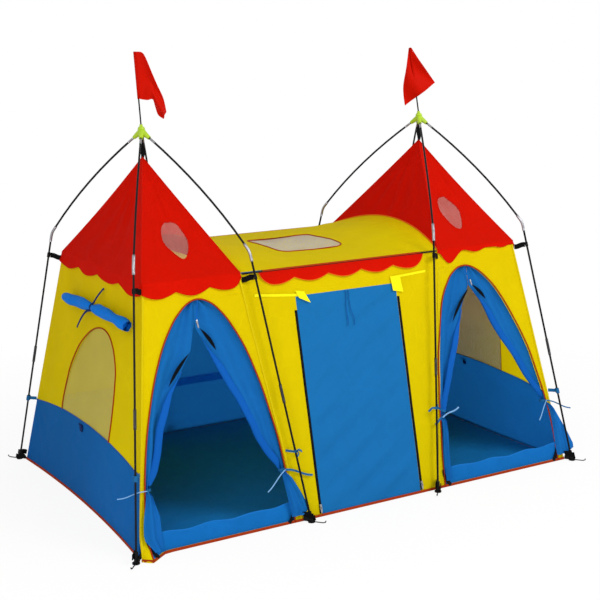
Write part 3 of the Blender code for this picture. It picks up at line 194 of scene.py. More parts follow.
def between(table, value):
    """Straight-line reading of a table of pairs, falling in its first column."""
    for (a, b), (c, d) in zip(table, table[1:]):
        if value >= c:
            return b + (d - b) * clip((a - value) / (a - c))
    return table[-1][1]


def tower_x(tower):
    return TOWERS[tower] * TOWER_SPACING / 2


def tower_half_width(z):
    return (BASE_WIDTH - (BASE_WIDTH - EAVE_WIDTH) * z / EAVE_HEIGHT) / 2


def half_depth(z):
    return (BASE_DEPTH - (BASE_DEPTH - EAVE_DEPTH) * z / EAVE_HEIGHT) / 2


def end_x(z):
    return TOWER_SPACING / 2 + tower_half_width(z)


def arch_edge(tower, side, z):
    """How far a doorway's edge lies from its tower's middle."""
    share = clip(z / ARCH_TOP)
    first, second = ARCH_POWERS[tower]
    half = ARCH_HALF_WIDTH * (1 - share ** first) ** second
    return half + TOWERS[side] * ARCH_LEANS[tower] * share * share


# Materials

def colour(red, green, blue):
    """An sRGB colour, 0 to 255, as the linear numbers that a shader takes."""
    parts = [part / 255 for part in (red, green, blue)]
    return (*(p / 12.92 if p <= 0.04045 else ((p + 0.055) / 1.055) ** 2.4 for p in parts), 1.0)


def scaled(tone, factor):
    return (*(min(part * factor, 1.0) for part in tone[:3]), 1.0)


class Graph:
    """A tree of shader nodes."""

    def __init__(self, tree):
        self.tree = tree

    def add(self, kind, inputs, **settings):
        node = self.tree.nodes.new("ShaderNode" + kind)
        for name, value in settings.items():
            setattr(node, name, value)
        for name, value in inputs.items():
            self.feed(value, node.inputs[name])
        return node

    def feed(self, value, socket):
        if isinstance(value, bpy.types.NodeSocket):
            self.tree.links.new(value, socket)
        else:
            socket.default_value = value

    def math(self, operation, first, second):
        return self.add("Math", {0: first, 1: second}, operation=operation).outputs[0]

    def mix(self, share, first, second):
        return self.add("Mix", {"Factor": share, 6: first, 7: second},
                        data_type="RGBA").outputs[2]

    def blend_shaders(self, share, first, second, output):
        mixed = self.add("MixShader", {0: share, 1: first.outputs[0], 2: second.outputs[0]})
        self.feed(mixed.outputs[0], output.inputs[0])

    def spread(self, value, low, high, first=0.0, last=1.0):
        """Value, stretched from first..last to low..high."""
        return self.add("MapRange", {"Value": value, "From Min": first, "From Max": last,
                                     "To Min": low, "To Max": high}).outputs[0]

    def position(self):
        return self.add("NewGeometry", {}).outputs["Position"]

    def seen_directly(self):
        """One for the rays that show the backdrop itself, nought for those that light the tent."""
        rays = self.add("LightPath", {}).outputs
        seen = self.math("MAXIMUM", rays["Is Camera Ray"], rays["Is Glossy Ray"])
        return self.math("MAXIMUM", seen, rays["Is Transmission Ray"])


class Look(Graph):
    """A material under construction, its textures laid by the named coordinates."""

    def __init__(self, name, place="UV", **sockets):
        self.material = bpy.data.materials.new(name)
        self.material.use_nodes = True
        super().__init__(self.material.node_tree)
        self.shader = self.tree.nodes["Principled BSDF"]
        self.output = self.tree.nodes["Material Output"]
        self.place = self.add("TexCoord", {}).outputs[place]
        self.set(**sockets)

    def set(self, **sockets):
        for name, value in sockets.items():
            self.feed(value, self.shader.inputs[name.replace("_", " ")])
        return self.material

    def noise(self, scale, detail=3.0, rough=0.5, stretch=None):
        place = self.place
        if stretch:
            place = self.add("Mapping", {"Vector": place, "Scale": stretch}).outputs[0]
        return self.add("TexNoise", {"Vector": place, "Scale": scale, "Detail": detail,
                                     "Roughness": rough}).outputs[0]

    def patches(self, low, high, *texture):
        """Noise cut off to patches: nought below low, one above high."""
        return self.spread(self.noise(*texture), 0.0, 1.0, low, high)

    def wave(self, period, direction):
        return self.add("TexWave", {"Vector": self.place, "Scale": pi / 10 / period},
                        bands_direction=direction).outputs[1]

    def weave(self, period):
        return self.math("MAXIMUM", self.wave(period, "X"), self.wave(period, "Y"))

    def shade(self, share, tone, low, high):
        return self.mix(share, scaled(tone, low), scaled(tone, high))

    def times(self, first, second):
        return self.math("MULTIPLY", first, second)

    def bumps(self, *layers):
        """Normal with layers of height, distance and strength laid over each other."""
        normal = None
        for height, distance, strength in layers:
            node = self.add("Bump", {"Height": height, "Distance": distance,
                                     "Strength": strength})
            if normal is not None:
                self.feed(normal, node.inputs["Normal"])
            normal = node.outputs[0]
        return normal


def cloth_look(name, tone, thread=0.0012, rough=0.7, glow=0.34, crease=1.0):
    """Woven nylon: weave, packing creases, uneven dye, grey foot, light shining through."""
    look = Look(name, Specular_IOR_Level=0.04)
    weave = look.weave(thread)
    cells = look.add("TexVoronoi", {"Vector": look.place, "Scale": 5.5, "Randomness": 0.75},
                     feature="DISTANCE_TO_EDGE").outputs["Distance"]
    folds = look.times(look.spread(cells, 1.0, 0.0, 0.0, 0.05), look.patches(0.42, 0.6, 3.0))
    base = look.shade(look.noise(5.0, 5.0, 0.6), tone, 0.88, 1.06)
    base = look.mix(look.times(folds, 0.16), base, scaled(tone, 1.25))
    base = look.mix(look.spread(weave, 0.10, 0.0), base, scaled(tone, 0.6))
    height = look.add("SeparateXYZ", {0: look.position()}).outputs[2]
    soil = look.times(look.spread(height, 0.22, 0.0, 0.0, 0.09),
                      look.patches(0.3, 0.7, 22.0, 6.0, 0.7))
    base = look.mix(soil, base, scaled(tone, 0.55))
    normal = look.bumps((weave, 0.00025, 0.5), (folds, 0.0012 * crease, 0.6),
                        (look.noise(9.0, 4.0, 0.5), 0.008 * crease, 0.7))
    if glow:
        behind = look.add("BsdfTranslucent", {"Color": base, "Normal": normal})
        look.blend_shaders(glow, look.shader, behind, look.output)
    return look.set(Base_Color=base, Normal=normal,
                    Roughness=look.spread(look.noise(11.0), rough - 0.09, rough + 0.1))


def tape_look(name, tone, rib=0.0018, rough=0.75, stitch=None):
    """Woven ribbon or webbing with cross ribs and, if asked, two rows of stitches."""
    look = Look(name, Specular_IOR_Level=0.06)
    ribs, fuzz = look.wave(rib, "X"), look.noise(240.0, 2.0)
    base = look.shade(ribs, tone, 0.76, 1.12)
    base = look.mix(look.spread(look.noise(14.0), 0.0, 0.35), base, scaled(tone, 0.8))
    if stitch:
        dashes = look.spread(look.wave(0.004, "X"), 0.0, 1.0, 0.45, 0.55)
        lines = look.spread(look.wave(0.0045, "Y"), 0.0, 1.0, 0.90, 0.97)
        base = look.mix(look.times(dashes, lines), base, stitch)
    return look.set(Base_Color=base, Roughness=look.spread(fuzz, rough - 0.08, rough + 0.08),
                    Normal=look.bumps((ribs, 0.0003, 0.7), (fuzz, 0.0003, 0.5)))


def mesh_look(name, tone, pitch=0.0022, open_share=0.5):
    """Netting: threads both ways with holes between them."""
    look = Look(name, Specular_IOR_Level=0.25, Roughness=0.65)
    threads = look.weave(pitch)
    return look.set(Base_Color=look.shade(look.noise(6.0, 4.0), tone, 0.82, 1.12),
                    Alpha=look.spread(threads, 0.0, 1.0, open_share, open_share + 0.12),
                    Normal=look.bumps((threads, 0.0004, 0.8), (look.noise(8.0), 0.004, 0.6)))


def film_look(name, tone):
    """Clear plastic film, a little cloudy and wrinkled."""
    look = Look(name, Specular_IOR_Level=0.6, Coat_Weight=0.3)
    cloud = look.noise(12.0, 4.0)
    return look.set(Base_Color=look.shade(cloud, tone, 0.9, 1.0),
                    Alpha=look.spread(cloud, 0.22, 0.42),
                    Roughness=look.spread(look.noise(30.0), 0.08, 0.22),
                    Normal=look.bumps((look.noise(14.0, 2.0), 0.004, 0.6)))


def plastic_look(name, tone, rough=0.4, wear=1.35, shine=0.4):
    """Moulded plastic: fine grain, scuffs and a slightly uneven colour."""
    look = Look(name, "Object", Specular_IOR_Level=shine)
    scuff = look.patches(0.58, 0.72, 90.0, 6.0, 0.7)
    base = look.shade(look.noise(30.0), tone, 0.88, 1.06)
    return look.set(Base_Color=look.mix(look.times(scuff, 0.3), base, scaled(tone, wear)),
                    Roughness=look.math("ADD", look.times(scuff, 0.22), rough),
                    Normal=look.bumps((look.noise(900.0, 2.0), 0.00012, 0.6),
                                      (look.noise(70.0), 0.0008, 0.4)))


def pole_look(name, tone):
    """Pole with fine streaks along it and rubbed spots."""
    look = Look(name, "Object", Specular_IOR_Level=0.12)
    streak = look.noise(40.0, 4.0, 0.6, (8.0, 8.0, 0.4))
    rubbed = look.times(look.patches(0.60, 0.75, 24.0, 5.0, 0.7), 0.3)
    return look.set(Base_Color=look.mix(rubbed, look.shade(streak, tone, 0.7, 1.3),
                                        scaled(tone, 3.0)),
                    Roughness=look.spread(streak, 0.34, 0.5),
                    Normal=look.bumps((streak, 0.0003, 0.5)))


def metal_look(name, tone, rough=0.4):
    """Drawn metal with lengthwise brushing and dull spots."""
    look = Look(name, "Object", Metallic=1.0)
    brushed = look.noise(60.0, 4.0, 0.6, (10.0, 10.0, 0.6))
    dull = look.patches(0.5, 0.75, 55.0, 5.0, 0.7)
    return look.set(Base_Color=look.shade(dull, tone, 1.05, 0.6),
                    Roughness=look.math("ADD", look.spread(brushed, rough - 0.08, rough + 0.08),
                                        look.times(dull, 0.2)),
                    Normal=look.bumps((brushed, 0.0002, 0.5)))


RED, YELLOW, BLUE = colour(222, 20, 0), colour(240, 215, 0), colour(26, 116, 198)
DEEP_BLUE, BLACK = colour(14, 66, 150), colour(10, 10, 11)

# By slot and finish: what makes the look, its tone, and what it takes besides
LOOKS = {
    "red_cloth": {
        "red": (cloth_look, RED, 0.0012, 0.7, 0.34, 1.8),
        "red_seam": (tape_look, scaled(RED, 0.85), 0.003),
        "piping": (tape_look, colour(165, 55, 15)),
        "orange": (tape_look, colour(232, 110, 20)),
    },
    "yellow_cloth": {
        "yellow": (cloth_look, YELLOW),
        "yellow_tape": (tape_look, colour(255, 238, 20)),
        "yellow_seam": (tape_look, scaled(YELLOW, 0.78), 0.003, 0.6, scaled(YELLOW, 0.45)),
    },
    "blue_cloth": {
        "blue": (cloth_look, BLUE),
        "sill": (cloth_look, colour(24, 124, 208)),
        "turned": (cloth_look, colour(20, 104, 198), 0.0012, 0.6, 0.3, 0.4),
        # Lower band of the end walls: the blue darkened to 0.84 as painted shade of the shaded end
        # walls
        "band": (cloth_look, scaled(BLUE, 0.84)),
        "door": (cloth_look, colour(30, 124, 196)),
        "flap": (cloth_look, colour(14, 120, 220), 0.0012, 0.6, 0.1, 2.0),
        # Inner tapes of the back wall: their blue raised far above its own tone as painted light,
        # standing in for light shining through the wall behind
        "blue_tape": (cloth_look, colour(40, 190, 250), 0.0012, 0.7, 0.8, 0.3),
        "blue_seam": (tape_look, DEEP_BLUE, 0.003, 0.6, scaled(BLUE, 1.5)),
        "blue_hem": (tape_look, BLUE, 0.003),
        "ribbon": (tape_look, colour(30, 98, 150)),
        "pale_ribbon": (tape_look, colour(120, 168, 214)),
        "door_ribbon": (tape_look, colour(20, 86, 156)),
        "navy": (tape_look, colour(14, 40, 92)),
    },
    "black_plastic": {
        # Near-black strip in the curtains' slits: painted shade of the opening
        "slit": (tape_look, colour(4, 10, 16)),
        "webbing": (tape_look, BLACK, 0.0022),
        "chain": (tape_look, colour(16, 16, 18), 0.0016, 0.5),
        "black": (plastic_look, BLACK, 0.5, 2.5, 0.12),
    },
    "black_pole": {"pole": (pole_look, BLACK),
                   "dark_metal": (metal_look, colour(60, 60, 64), 0.5)},
    "mesh_cloth": {"mesh": (mesh_look, colour(196, 190, 172)),
                   "net": (mesh_look, colour(186, 170, 60), 0.0020, 0.06)},
    "floor_cloth": {"floor": (cloth_look, colour(16, 104, 170), 0.002, 0.7, 0.0)},
    "flag_cloth": {"flag": (cloth_look, scaled(RED, 0.8), 0.001, 0.5, 0.2, 0.8)},
    "clear_film": {"film": (film_look, colour(214, 150, 140))},
    "lime_plastic": {"lime": (plastic_look, colour(168, 200, 34))},
    "zip_metal": {"metal": (metal_look, colour(150, 150, 154))},
}
FINISHES = {finish: (make(finish, *values), slot) for slot, finishes in LOOKS.items()
            for finish, (make, *values) in finishes.items()}

# Finish of the CAD nodes that stay showing, by the ends of their names
NODE_FINISHES = {("_hub",): "lime", ("_pole", "flagpole", "rod"): "pole", ("_foot",): "black",
                 ("_slider", "_pull"): "metal"}


# Cloth and trim

def make_mesh(name, verts, faces, cuts):
    """Mesh whose faces' corners take the cuts in turn."""
    mesh = bpy.data.meshes.new(name)
    mesh.from_pydata(verts, [], faces)
    for spot, cut in zip(mesh.uv_layers.new(name="UVMap").data, cuts):
        spot.uv = cut
    return mesh


def dress(name, mesh, finish, body):
    piece = bpy.data.objects.new(name, mesh)
    bpy.context.scene.collection.objects.link(piece)
    look, slot = FINISHES[finish]
    mesh.materials.append(look)
    if body:
        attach(piece, body)
    return piece


class Cloth:
    """Cloth sewn up from faces. A corner has its place and its cut, (u, v) in metres."""

    def __init__(self, rows=()):
        """Cloth of rows of corners, if they are given."""
        self.corners, self.faces = [], []
        for low, high in zip(rows, rows[1:]):
            for k in range(len(low) - 1):
                self.face((low[k], low[k + 1], high[k + 1], high[k]))

    def face(self, corners):
        self.faces.append(range(len(self.corners), len(self.corners) + len(corners)))
        self.corners += corners

    def panel(self, rows, counts, place, height=lambda u, t: t, is_open=lambda *gap: False):
        """Rows are (t, stops across); between two stops lie that many faces."""
        lines = [(t, [[(u, height(u, t)) for u in spaced(*gap)]
                      for gap in zip(stops, stops[1:], counts)]) for t, stops in rows]
        for (t, low), (next_t, high) in zip(lines, lines[1:]):
            for i, count in enumerate(counts):
                for k in range(0 if is_open(i, t, next_t) else count):
                    cuts = (low[i][k], low[i][k + 1], high[i][k + 1], high[i][k])
                    kept = dict.fromkeys((round(u, 5), round(v, 5)) for u, v in cuts)
                    if len(kept) > 2:
                        self.face([(place(*cut), cut) for cut in kept])

    def area(self):
        total = 0.0
        for face in self.faces:
            cuts = [self.corners[i][1] for i in face]
            for (a, b), (c, d) in zip(cuts, cuts[1:] + cuts[:1]):
                total += (a * d - b * c) / 2
        return abs(total)

    def made_area(self):
        """Area of the cloth as it hangs."""
        total = 0.0
        for face in self.faces:
            points = [self.corners[i][0] for i in face]
            for a, b in zip(points[1:], points[2:]):
                total += (a - points[0]).cross(b - points[0]).length / 2
        return total

    def size(self):
        return tuple(max(line) - min(line) for line in zip(*(cut for _, cut in self.corners)))

    def sew(self, name, finish, held, body="tent", replaces=(), flat=None, area=None, trim=()):
        places, cuts = zip(*self.corners)
        mesh = make_mesh(name, places, self.faces, cuts)
        joined = bmesh.new()
        joined.from_mesh(mesh)
        bmesh.ops.remove_doubles(joined, verts=joined.verts, dist=2e-5)
        bmesh.ops.recalc_face_normals(joined, faces=joined.faces)
        for face in joined.faces:
            face.smooth = True
        joined.to_mesh(mesh)
        joined.free()
        piece = dress(name, mesh, finish, body)
        if replaces:
            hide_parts(*replaces)
        flat or self.size()
        area or self.area()
        list(trim)
        return piece


def sweep(name, points, section, finish, body="tent", across=None, sizes=None, closed=False):
    """A cord, tape or strap: the section drawn along the points."""
    points = [Vector(point) for point in points]
    count, ring = len(points), len(section)
    verts, runs, side = [], [0.0], None
    for i, point in enumerate(points):
        before = points[i - 1 if closed else max(i - 1, 0)]
        ahead = points[(i + 1) % count if closed else min(i + 1, count - 1)] - before
        ahead.normalize()
        if across is not None:
            side = Vector(across)
        elif side is None:
            side = ahead.orthogonal()
        side = (side - ahead * side.dot(ahead)).normalized()
        up = ahead.cross(side)
        size = sizes[i] if sizes else 1.0
        verts += [point + side * a * size + up * b * size for a, b in section]
        if i:
            runs.append(runs[-1] + (point - points[i - 1]).length)
    edge = [0.0]
    for (a, b), (c, d) in zip(section, section[1:] + section[:1]):
        edge.append(edge[-1] + hypot(c - a, d - b))
    faces, cuts = [], []
    for i in range(count if closed else count - 1):
        j = (i + 1) % count
        run, far = runs[i], runs[j] if j else runs[i] + (points[0] - points[i]).length
        for k in range(ring):
            n = (k + 1) % ring
            faces.append((i * ring + k, i * ring + n, j * ring + n, j * ring + k))
            cuts += [(run, edge[k]), (run, edge[k + 1]), (far, edge[k + 1]), (far, edge[k])]
    for first in () if closed else (0, (count - 1) * ring):
        faces.append(range(first, first + ring))
        cuts += section
    mesh = make_mesh(name, verts, faces, cuts)
    for face in mesh.polygons:
        face.use_smooth = ring > 4
    return dress(name, mesh, finish, body)


def oval(wide, high, count):
    turns = [2 * pi * k / count for k in range(count)]
    return [(wide * cos(turn), high * sin(turn)) for turn in turns]


def circle(centre, first, second, count):
    """Points round the ellipse that two vectors span."""
    return [centre + first * a + second * b for a, b in oval(1, 1, count)]


def cord(name, points, radius, finish, sides=8, **more):
    return sweep(name, points, oval(radius, radius, sides), finish, **more)


def tape(name, points, width, thickness, finish, across=(1, 0, 0), **more):
    a, b = width / 2, thickness / 2
    return sweep(name, points, [(-a, -b), (a, -b), (a, b), (-a, b)], finish, across=across,
                 **more)


def ripple(u, v, seed, size, height):
    return height * noise.noise(Vector((u / size, v / size, seed)))


def creases(u, v, corner, length, height, count, seed=0.0):
    """Fine folds that run out from a corner where the cloth is pulled."""
    du, dv = u - corner[0], v - corner[1]
    far = hypot(du, dv)
    return height * exp(-far / length) * min(far / 0.03, 1.0) * sin(atan2(dv, du) * count + seed)


# Front wall

FRONT_SLOPE = hypot(EAVE_HEIGHT, (BASE_DEPTH - EAVE_DEPTH) / 2) / EAVE_HEIGHT
END_SLOPE = hypot(EAVE_HEIGHT, (BASE_WIDTH - EAVE_WIDTH) / 2) / EAVE_HEIGHT
FRONT_NORMAL = Vector((0, -EAVE_HEIGHT, (BASE_DEPTH - EAVE_DEPTH) / 2)).normalized()
END_NORMAL = Vector((EAVE_HEIGHT, 0, (BASE_WIDTH - EAVE_WIDTH) / 2)).normalized()


def front_relief(u, v):
    """Folds of the front wall, none where it is sewn and few beside the zips."""
    z = v / FRONT_SLOPE
    relief = ripple(u, v, 1.0, 0.16, 0.0050) + ripple(u, v * 0.5, 4.0, 0.05, 0.0018)
    for side in SIDES:
        for tower_side in SIDES:
            x = side * TOWER_SPACING / 2 + tower_side * tower_half_width(WALL_TOP)
            relief += creases(u, v, (x, WALL_TOP * FRONT_SLOPE), 0.14, 0.0035, 14, side * 2)
    sewn = smooth(z, 0.06) * smooth(WALL_TOP - z, 0.06) * smooth(end_x(z) - abs(u), 0.06)
    return relief * sewn * (1 - 0.8 * bell(abs(u) - DOOR_HALF_WIDTH - ZIP_WIDTH / 2, 0.03))


def front_place(u, v, out=0.0, face=-1):
    z = v / FRONT_SLOPE
    lift = out + front_relief(u, v) - CLOTH / 2
    bulge = FRONT_FOOT_BULGE * bell(u + FRONT_FOOT_PLACE, 0.045) * bell(z, 0.05) * (face < 0)
    return Vector((u, face * (half_depth(z) - FRONT_NORMAL.y * lift + bulge),
                   z + FRONT_NORMAL.z * lift))


def front_at(x, z, out=0.0, face=-1):
    return front_place(x, z * FRONT_SLOPE, out, face)


def front_line(first, last, out, steps):
    """Points between two places on the front wall."""
    (x, z), (end, top) = first, last
    return [front_at(x + (end - x) * s, z + (top - z) * s, out) for s in shares(steps)]


def front_wall():
    cloth, rows, trim = Cloth(), [], []
    heights = {ARCH_TOP * sin(pi / 2 * share) for share in shares(46)}
    heights |= {HEM_HEIGHT, DOOR_TOP, SILL_HEIGHT, 1.0, 1.02, 1.045, WALL_TOP}
    for z in sorted(heights):
        edge, door = end_x(z), DOOR_HALF_WIDTH + SEAM
        arches = [tower_x(tower) + sign * arch_edge(tower, side, z)
                  for tower in TOWERS for side, sign in TOWERS.items()]
        rows.append((z * FRONT_SLOPE, (-edge, *arches[:2], -door, door, *arches[2:], edge)))

    def is_open(i, low, high):
        return ((i in (1, 5) and low > HEM_HEIGHT - SEAM)
                or (i == 3 and low < DOOR_TOP * FRONT_SLOPE - SEAM))

    cloth.panel(rows, (12, 24, 16, 24, 16, 24, 12), front_place, is_open=is_open)
    for tower in TOWERS:
        trim += arch_trim(tower)
    for side in SIDES:
        x = side * (DOOR_HALF_WIDTH + SEAM * 2 + ZIP_WIDTH / 2)
        for name, out, width, thickness, finish in (
                ("tape", 0.0010, ZIP_WIDTH, 0.001, "webbing"),
                ("chain", 0.0021, 0.005, 0.0014, "chain")):
            line = front_line((x, ZIP_FOOT), (x, ZIP_TOP), out, 60)
            trim.append(tape(f"door_zip_{name}_{side}", line, width, thickness, finish))
        for tower_side in SIDES:
            line = [front_at(side * (TOWER_SPACING / 2
                                     + tower_side * (tower_half_width(z) - 0.006)), z, 0.0020)
                    for z in spaced(0, WALL_TOP, 24)]
            trim.append(tape(f"front_seam_{side}_{tower_side}", line, 0.009, 0.0008,
                             "yellow_seam"))
    cloth.sew("front_cloth", "yellow", "stretched",
              replaces=("left_front_wall", "right_front_wall", "centre_front_wall"), trim=trim)


def arch_trim(tower):
    """Piping round a tower's doorway, the zips' feet beside the sill, and the sill."""
    centre, line = tower_x(tower), []
    for turn in spaced(-pi / 2, pi / 2, 72):
        side, z = "right" if turn > 0 else "left", ARCH_TOP * cos(turn)
        x = centre + TOWERS[side] * arch_edge(tower, side, z)
        line.append(front_at(x, max(z, 0.004), 0.0030))
    trim = [cord(f"{tower}_arch_piping", line, 0.0034, "piping")]
    for side, sign in TOWERS.items():
        line = []
        for share in shares(8):
            z = 0.006 + (SILL_HEIGHT - 0.010) * share
            reach = arch_edge(tower, side, z) + 0.004 - 0.034 * (1 - share) ** 2
            line.append(front_at(centre + sign * reach, z, 0.0046))
        trim.append(tape(f"{tower}_{side}_arch_zip_foot", line, 0.016, 0.0012, "chain",
                         sizes=[1, 1, 1, 1, 1, 0.9, 0.8, 0.7, 0.6]))

    def place(u, v):
        share, rise = (u - centre) / ARCH_HALF_WIDTH, v / SILL_HEIGHT
        wave = 0.006 * sin(share * 7 + centre) + 0.003 * sin(share * 19 + centre)
        point = front_place(u, v, -0.004 + wave * rise * rise - ripple(u, v, 3, 0.05, 0.003) * rise)
        point.z -= (0.007 * (1 - share * share) + 0.004 * sin(share * 11)) * rise
        return point

    rows = [(z * FRONT_SLOPE, [centre + sign * (arch_edge(tower, side, z) - 0.003)
                               for side, sign in TOWERS.items()])
            for z in spaced(0.004, SILL_HEIGHT, 5)]
    sill = Cloth()
    sill.panel(rows, (40,), place)
    line = [place(u, SILL_HEIGHT * FRONT_SLOPE) for u in spaced(*rows[-1][1], 40)]
    hem = tape(f"{tower}_sill_hem", line, 0.006, 0.0012, "blue_hem", (0, 0, 1))
    sill.sew(f"{tower}_sill", "sill", "stretched", trim=[hem])
    return trim


def door_relief(u, v):
    z = v / FRONT_SLOPE
    sewn = smooth(DOOR_HALF_WIDTH - abs(u), 0.05) * smooth(DOOR_TOP - z, 0.05) * smooth(z, 0.05)
    slant = sin((v - u * 0.55) * 46) * 0.0065 * (0.55 + 0.45 * sin(v * 6 + u * 5 + 1))
    slant += sin((v - u * 0.75) * 83 + 2) * 0.0024
    ridge = 0.004 * bell(u - 0.02 + 0.12 * (DOOR_TOP - z), 0.012) * smooth(z - 0.55, 0.2)
    drag = sum(creases(u, v, (side * DOOR_HALF_WIDTH, DOOR_TOP * FRONT_SLOPE), 0.16, 0.004, 9,
                       side > 0) for side in SIDES)
    return (slant + ridge + drag + ripple(u, v, 8.0, 0.11, 0.003)) * sewn


def centre_door():
    """Zipped door with the two thin ribbons that hold it when it is rolled up."""
    cloth, trim = Cloth(), []
    cloth.panel([(v, (-DOOR_HALF_WIDTH, DOOR_HALF_WIDTH))
                 for v in spaced(0, DOOR_TOP * FRONT_SLOPE, 48)], (28,),
                lambda u, v: front_place(u, v, door_relief(u, v)))
    for name, start, sway in (("left", -0.010, -0.014), ("right", 0.004, 0.012)):
        line = []
        for share in shares(12):
            z = DOOR_TOP - 0.004 - DOOR_RIBBON * share
            x = start + sway * share * share + 0.003 * sin(share * 9)
            line.append(front_at(x, z, 0.004 + door_relief(x, z * FRONT_SLOPE) + 0.003 * share))
        trim.append(tape(f"door_ribbon_{name}", line, 0.0035, 0.0008, "door_ribbon", body="door"))
    cloth.sew("door_cloth", "door", "stretched", "door", ("centre_door",), trim=trim)


def door_head_tapes():
    """Two bright tapes beside the door's head, each with a folded end on the door."""
    for name, (start, end, *_) in HEAD_TAPES.items():
        tape(f"{name}_head_tape", front_line(metres(start), metres(end), 0.0032, 8), 0.012,
             0.0012, "yellow_tape", (0, 0, 1))
    for name, (_, _, *corners) in HEAD_TAPES.items():
        a, b, c, d = (Vector(metres(corner)) for corner in corners)
        rows = []
        for i in range(7):
            row = []
            for k in range(5):
                cut = a.lerp(b, k / 4).lerp(c.lerp(d, k / 4), i / 6)
                row.append((front_at(*cut, 0.0050 + 0.0006 * i + 0.001 * sin(k * 2)), tuple(cut)))
            rows.append(row)
        piece = Cloth(rows).sew(f"{name}_head_flap", "yellow_tape", "stretched", None)
        front_at(0, DOOR_TOP + 0.012)
        front_at(0, DOOR_TOP - 0.014)
        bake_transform(piece)


# Curtains

def curtain(tower, side):
    """Half of an arched door, drawn aside, its edge turned over, tied low down."""
    centre, sign = tower_x(tower), TOWERS[side]
    tie, edges, spill, ((high, first), (low, last)), _ = metres(CURTAINS[tower, side])
    rows, strip, widths = [], [], []
    for rise in shares(72):
        z = CURTAIN_FOOT + (ARCH_TOP - 0.004 - CURTAIN_FOOT) * sin(pi / 2 * rise)
        sewn = arch_edge(tower, side, z) - 0.0015
        outside = between(spill, z) if z < tie and spill else sewn
        outside += (sewn - 0.004 - outside) * bell(z - tie, 0.02)
        inner = min(between(edges, z), outside - 0.004)
        below, gathered = smooth(tie - z, 0.025), bell(z - tie, 0.06)
        billow = 0.016 * smooth(z - 0.35, 0.3) * (1 - z / ARCH_TOP)
        row, run, before = [], 0.0, None
        for q in shares(56):
            broad = 0.011 * sin(pi * (2.3 * q + 0.8 * z + sign * 0.4)) - billow
            fine = (0.004 * gathered * sin(pi * 9 * q)
                    + 0.0016 * smooth(0.7 - z, 0.3) * sin(pi * 5 * q + 6 * z))
            out = -0.008 - 0.006 * q + broad * sin(pi * q) + fine * q ** 0.5
            out += ripple(q * 0.3, z, sign + centre, 0.09, 0.004) * smooth(q, 0.1)
            out += below * (CURTAIN_FRONT + 0.010 * sin(pi * q))
            x = outside + (inner - outside) * q
            run += hypot(x - before[0], out - before[1]) if before else 0.0
            before = (x, out)
            row.append((front_at(centre + sign * x, z, out), (run, z * FRONT_SLOPE)))
        rows.append(row)
        if tie < z < low + 0.06:
            size = max(smooth(low + 0.06 - z, 0.16) * smooth(z - tie + 0.004, 0.05), 0.12)
            x = centre + sign * (inner + TURN_WIDTH / 2 * size)
            strip.append(front_at(x, z, out + 0.007))
            widths.append(size)
    cloth = Cloth(rows)
    name = f"{tower}_{side}_curtain"
    trim = [sweep(f"{name}_turn", strip, oval(TURN_WIDTH / 2, 0.0065, 14), "turned",
                  across=(1, 0, 0), sizes=widths)]
    # A near-black strip, widest in its middle, along the slit: painted shade of the opening
    line = []
    for share in shares(14):
        x = first + (last - first) * share + 0.006 * sin(pi * share)
        line.append(front_at(centre + sign * x, high + (low - high) * share, 0.004))
    trim.append(tape(f"{name}_zip", line, 0.016, 0.0012, "slit", (1, 0, 0.5 * sign),
                     sizes=[max(sin(pi * share) ** 0.8, 0.08) for share in shares(14)]))
    cloth.sew(f"{name}_cloth", "blue", "gathered", replaces=(f"{tower}_tower_{side}_curtain",),
              area=cloth.made_area() * 0.99, trim=trim)


def curtain_tie(tower, side):
    """Ribbon round the gathered curtain, with an outer and an inner tail."""
    sign = TOWERS[side]
    tie, _, _, _, tails = metres(CURTAINS[tower, side])
    centre = tower_x(tower) + sign * (arch_edge(tower, side, tie) - 0.014)
    ring = [front_at(centre + a, tie, b - 0.006) for a, b in oval(0.016, 0.015, 18)]
    name = f"{tower}_{side}_curtain_tie"
    tape(name, ring, 0.011, 0.0010, "ribbon", (0, 0, 1), closed=True)
    knot = front_at(centre + sign * 0.008, tie, 0.011)
    for tail, (reach, drop, width, finish) in zip(("outer", "inner"), tails):
        line = [knot + Vector((sign * reach * share, -0.004 - 0.010 * share,
                               0.004 * sin(share * 6) - drop * share)) for share in shares(11)]
        tape(f"{name}_{tail}_tail", line, width, 0.0008, finish, (0, 0.3, 1))


def arch_slider(tower):
    """Zip slider and pull at the top of a tower's curtains."""
    shift, low, high = SLIDERS[tower]
    x, top = tower_x(tower) + shift, tower_x(tower) + ARCH_LEANS[tower]
    tape(f"{tower}_arch_slider", front_line((x, high), (x, high - 0.018), 0.0065, 6), 0.008,
         0.005, "metal", sizes=[0.6, 0.85, 1, 1, 1, 0.85, 0.6])
    tape(f"{tower}_arch_pull", front_line((x, high - 0.012), (x + 0.003, low), 0.0100, 6), 0.006,
         0.0014, "metal", sizes=[0.7, 0.8, 1, 1, 1, 0.9, 0.6])
    tape(f"{tower}_arch_chain", front_line((x, high), (top, ARCH_TOP - 0.008), 0.0022, 8), 0.004,
         0.0012, "turned")


# End walls

def border_height(share):
    """Height of the yellow cloth's lower edge at a share of the way to the corner."""
    return BORDER_MIDDLE - BORDER_DROP * share * share


def hem_bow(y, z):
    return HEM_BOW * max(1 - (y / half_depth(z)) ** 2, 0.0) * max(1 - z / 0.30, 0.0) ** 2


